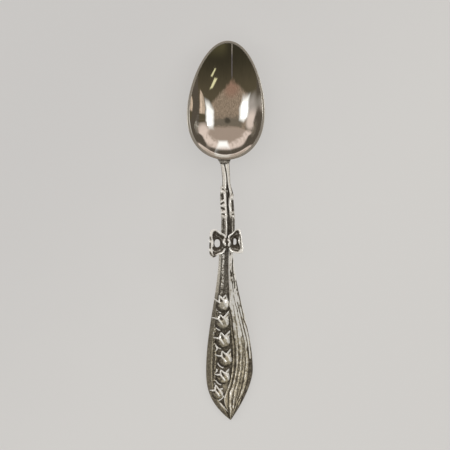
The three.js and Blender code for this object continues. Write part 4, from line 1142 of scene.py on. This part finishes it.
# %% Studio colours and places
DARK_ROOM = srgb(52, 48, 37)
NEAR_ROOM = srgb(84, 76, 60)
OLIVE_CORNER = srgb(100, 94, 66)
WARM_CEILING = srgb(172, 153, 134)
SHADED_CEILING = srgb(88, 77, 64)
CEILING_EDGE = srgb(144, 108, 92)
LOW_BEAM = srgb(86, 82, 73)
PALE_WALL = srgb(172, 154, 141)
PALE_CORNER = srgb(226, 209, 199)
GREY_CORNER = srgb(178, 172, 168)
STREAK = srgb(120, 113, 118)
PALE_STREAK = srgb(176, 166, 156)
LAMP_MARK = srgb(222, 217, 172)
STRIP_COLOUR = srgb(238, 214, 192)
HORIZON = srgb(82, 75, 66)
BLACK_LENS = srgb(60, 56, 48)
SOFT_BOX = (1.05, 1.05, 1.03, 1.0)
BOX_CORE = (9.0, 9.0, 8.8, 1.0)
RIGHT_BOX = [[0.662, -0.066], [0.643, 0.097], [0.5, 0.38], [0.335, 0.395], [0.4, 0.0], [0.535, -0.066]]
LEFT_BOX = [
    [-0.511, -0.089], [-0.422, 0.009], [-0.426, 0.12], [-0.565, 0.165], [-0.695, 0.09], [-0.712, 0.0],
    [-0.7, -0.086],
]
TIP_BOX = [[0.2, 0.7], [0.24, 0.825], [-0.092, 0.832], [-0.04, 0.703]]
RIGHT_CORE = [[0.58, 0.04], [0.56, 0.22], [0.48, 0.2], [0.49, 0.06]]
LEFT_CORE = [[-0.52, -0.03], [-0.5, 0.08], [-0.62, 0.09], [-0.66, 0.0]]
SIDE_STRIP = [[0.84, 0.03], [0.69, 0.03], [0.69, -0.05], [0.75, -0.14], [0.79, -0.16], [0.82, -0.09]]
THIN_MARK = [[0.359, -0.317], [0.395, -0.318], [0.505, -0.268], [0.463, -0.265]]
BROAD_MARK = [[0.317, -0.251], [0.397, -0.254], [0.514, -0.182], [0.44, -0.188]]
CEILING_SPOT = (-0.17, -0.175, 0.24, 0.07, 0.6)
LENS_SPOT = (-0.046, 0.15, 0.08, 0.07, 0.5)
RIGHT_SPOT = (0.72, 0.4, 0.2, 0.2, 0.5)
LEFT_SPOT = (-0.8, 0.2, 0.14, 0.16, 0.5)
BOX_SOFTNESS, CORE_SOFTNESS = 0.045, 0.03

# %% Map of the sky
world = bpy.data.worlds.new("studio")
world.use_nodes = True
bpy.context.scene.world = world
sky = Nodes(world.node_tree)
direction = sky.add("ShaderNodeTexCoord")
sky_x, sky_y, sky_z = [sky.axis(direction, number) for number in range(3)]
height = sky.highest(sky_z + 1, 0.2)
u = sky_x / height
v = sky_y / height
out = (u**2 + v**2) ** 0.5


def spot(middle_u, middle_v, half_u, half_v, soft):
    """A soft-edged ellipse."""
    away = (((u - middle_u) / half_u) ** 2 + ((v - middle_v) / half_v) ** 2) ** 0.5
    return 1 - sky.step(away, 1 - soft, 1 + soft)


def patch(corners, soft):
    """A soft-edged polygon of [u, v] corners that turn to the left."""
    inside = None
    for (au, av), (bu, bv) in zip(corners, corners[1:] + corners[:1]):
        length = math.hypot(bu - au, bv - av)
        depth = (v - av) * ((bu - au) / length) - (u - au) * ((bv - av) / length)
        inside = depth if inside is None else inside.math("MINIMUM", inside, depth)
    return sky.step(inside, -soft, soft)


print("sky map of", len(world.node_tree.nodes), "nodes")

# %% Studio
cloth = sky.noise(direction, 12.0, 4.0)
weave = sky.noise(sky.scaled(direction, (1.0, 0.5, 1.0)), 60.0, 3.0)
waver = (cloth - 0.5) * 0.12
tent = sky.step(v + 0.235 - 0.25 * abs(u + 0.165) + waver * 0.5, -0.02, 0.03)
tent = tent * sky.window(u, -0.64, 0.45, 0.05)
ceiling = sky.mix(0.25 + 0.55 * sky.step(weave, 0.38, 0.62), SHADED_CEILING, WARM_CEILING)
beam = sky.window(v + waver * 1.5, 0.08, 0.3, 0.05) * sky.window(u, -0.52, 0.4, 0.08)
wall = sky.step(v + waver - 0.15 * u**2, 0.25, 0.36)
grey = sky.window(u, -0.88, -0.7, 0.06) * sky.window(v, -0.06, 0.16, 0.08)
crescent = sky.window(out + waver, 0.75, 0.94, 0.06) * sky.step(v, 0.3, 0.5)
crescent = crescent * (0.45 + 0.55 * sky.step(cloth, 0.3, 0.55))
pale = sky.highest(spot(*RIGHT_SPOT), spot(*LEFT_SPOT), crescent)
strip_tone = (0.55 + 0.3 * sky.step(u, 0.76, 0.8)) * (0.5 + sky.step(weave, 0.3, 0.6) * 0.5)
line = sky.window(u + 0.19 * v, -0.224, -0.206, 0.009) * sky.window(v, -0.6, -0.25, 0.02)
olive = sky.step(-v, 0.36, 0.48) * sky.step(u + waver, -0.08, 0.2) * 0.5
dips = 0.022 * sky.step(v, 0.74, 0.84) - 0.045 * sky.window(v, 0.28, 0.5, 0.08)
horizon = sky.step(out + waver * 0.15 + dips, 0.872, 0.898)
right_end = sky.step(u, 0.83, 0.86) * sky.step(-v, -0.25, -0.15)
faded = 1 - 0.7 * sky.step(v, 0.18, 0.4)
layers = [
    (olive, OLIVE_CORNER),
    (tent, sky.mix(spot(*CEILING_SPOT) * 0.6, ceiling, CEILING_EDGE)),
    (wall, sky.mix(weave * 0.4, PALE_WALL, LOW_BEAM)),
    (beam, sky.mix(weave * 0.4, LOW_BEAM, WARM_CEILING)),
    (spot(*LENS_SPOT) * 0.8, BLACK_LENS),
    (grey * 0.7, GREY_CORNER),
    (pale * 0.85, PALE_CORNER),
    (horizon, HORIZON),
    (right_end, HORIZON),
    (patch(SIDE_STRIP, 0.015) * strip_tone, STRIP_COLOUR),
    (line, sky.mix(sky.step(-v, 0.38, 0.42), STREAK, PALE_STREAK)),
    (sky.highest(patch(THIN_MARK, 0.005), patch(BROAD_MARK, 0.008)), LAMP_MARK),
    (patch(RIGHT_BOX, BOX_SOFTNESS) * faded, SOFT_BOX),
    (patch(LEFT_BOX, BOX_SOFTNESS), SOFT_BOX),
    (patch(TIP_BOX, BOX_SOFTNESS), SOFT_BOX),
    (patch(RIGHT_CORE, CORE_SOFTNESS), BOX_CORE),
    (patch(LEFT_CORE, CORE_SOFTNESS), BOX_CORE),
]
shade = sky.mix(sky.step(v + waver * 0.6, -0.4, -0.1), DARK_ROOM, NEAR_ROOM)
for mask, colour in layers:
    shade = sky.mix(mask, shade, colour)
background = sky.add("ShaderNodeBackground", None, {"Color": shade, "Strength": 1.0})
sky.add("ShaderNodeOutputWorld", None, {"Surface": background})
print("studio of", len(layers), "layers over a dark room")

# %% [markdown]
# The floor is a sheet of paper a hair below the spoon's feet, so that no two surfaces share a plane. A
# plain diffuse sheet would show every shade of the studio. This one glows for the camera and in mirrors,
# which keeps it as even as in the photo, and shadows still fall on it. A wide lamp overhead, which mirrors
# and the camera don't see, makes them soft. The camera stands where the photo was taken from.

# %% Floor
FLOOR_SIZE = 6.0
FLOOR_GAP = 0.02
PAPER_GLOW = 0.72
floor_mesh = bpy.data.meshes.new("floor")
corner = FLOOR_SIZE / 2
floor_corners = [(-corner, -corner, 0), (corner, -corner, 0), (corner, corner, 0), (-corner, corner, 0)]
floor_mesh.from_pydata(floor_corners, [], [(0, 1, 2, 3)])
floor = bpy.data.objects.new("floor", floor_mesh)
floor.location.z = -FLOOR_GAP * MM
bpy.context.scene.collection.objects.link(floor)
paper = bpy.data.materials.new("pale_paper")
paper.use_nodes = True
paper_nodes = Nodes(paper.node_tree)
place = paper_nodes.add("ShaderNodeTexCoord", output="Object")
grain = paper_nodes.noise(place, 60.0, 2.0)
# The paper is painted lighter towards one corner: painted light, falling off across the sheet.
slope = paper_nodes.axis(place, 0) - paper_nodes.axis(place, 1)
painted_light_falloff = paper_nodes.step(slope + (grain - 0.5) * 0.02, -0.12, 0.05)
paper_colour = paper_nodes.mix(painted_light_falloff, srgb(203, 201, 199), srgb(210, 208, 205))
paper_shader = paper_nodes.add("ShaderNodeBsdfDiffuse", None, {"Color": paper_colour})
paper_glow = paper_nodes.add("ShaderNodeEmission", None, {"Color": paper_colour, "Strength": 1.0})
rays = [
    paper_nodes.add("ShaderNodeLightPath", output=name)
    for name in ("Is Camera Ray", "Is Glossy Ray", "Is Transmission Ray")
]
glow = paper_nodes.highest(*rays) * PAPER_GLOW
paper_mix = paper_nodes.add("ShaderNodeMixShader", None, {0: glow, 1: paper_shader, 2: paper_glow})
paper_nodes.add("ShaderNodeOutputMaterial", None, {"Surface": paper_mix})
floor_mesh.materials.append(paper)
print(f"floor {FLOOR_SIZE:.0f} m wide")

# %% Lamp and camera
lamp_data = bpy.data.lights.new("overhead", "AREA")
lamp_data.shape = "DISK"
lamp_data.size = 4.0
lamp_data.energy = 39.0
lamp_data.color = (0.96, 0.99, 1.0)
lamp = bpy.data.objects.new("overhead", lamp_data)
lamp.location = (0, 0, 1.5)
lamp.visible_glossy = False
lamp.visible_camera = False
bpy.context.scene.collection.objects.link(lamp)

VIEW_WIDTH = 0.15375
VIEW_CENTRE = (-0.00035, 0.00200)
VIEW_LEVEL = 0.007
LENS = 200.0
camera_data = bpy.data.cameras.new("above")
camera_data.lens = LENS
camera = bpy.data.objects.new("above", camera_data)
distance = VIEW_WIDTH * LENS / camera_data.sensor_width
camera.location = (*VIEW_CENTRE, VIEW_LEVEL + distance)
bpy.context.scene.collection.objects.link(camera)
bpy.context.scene.camera = camera
bpy.context.scene.view_settings.view_transform = "Standard"
print(f"camera {distance:.3f} m above the spoon")
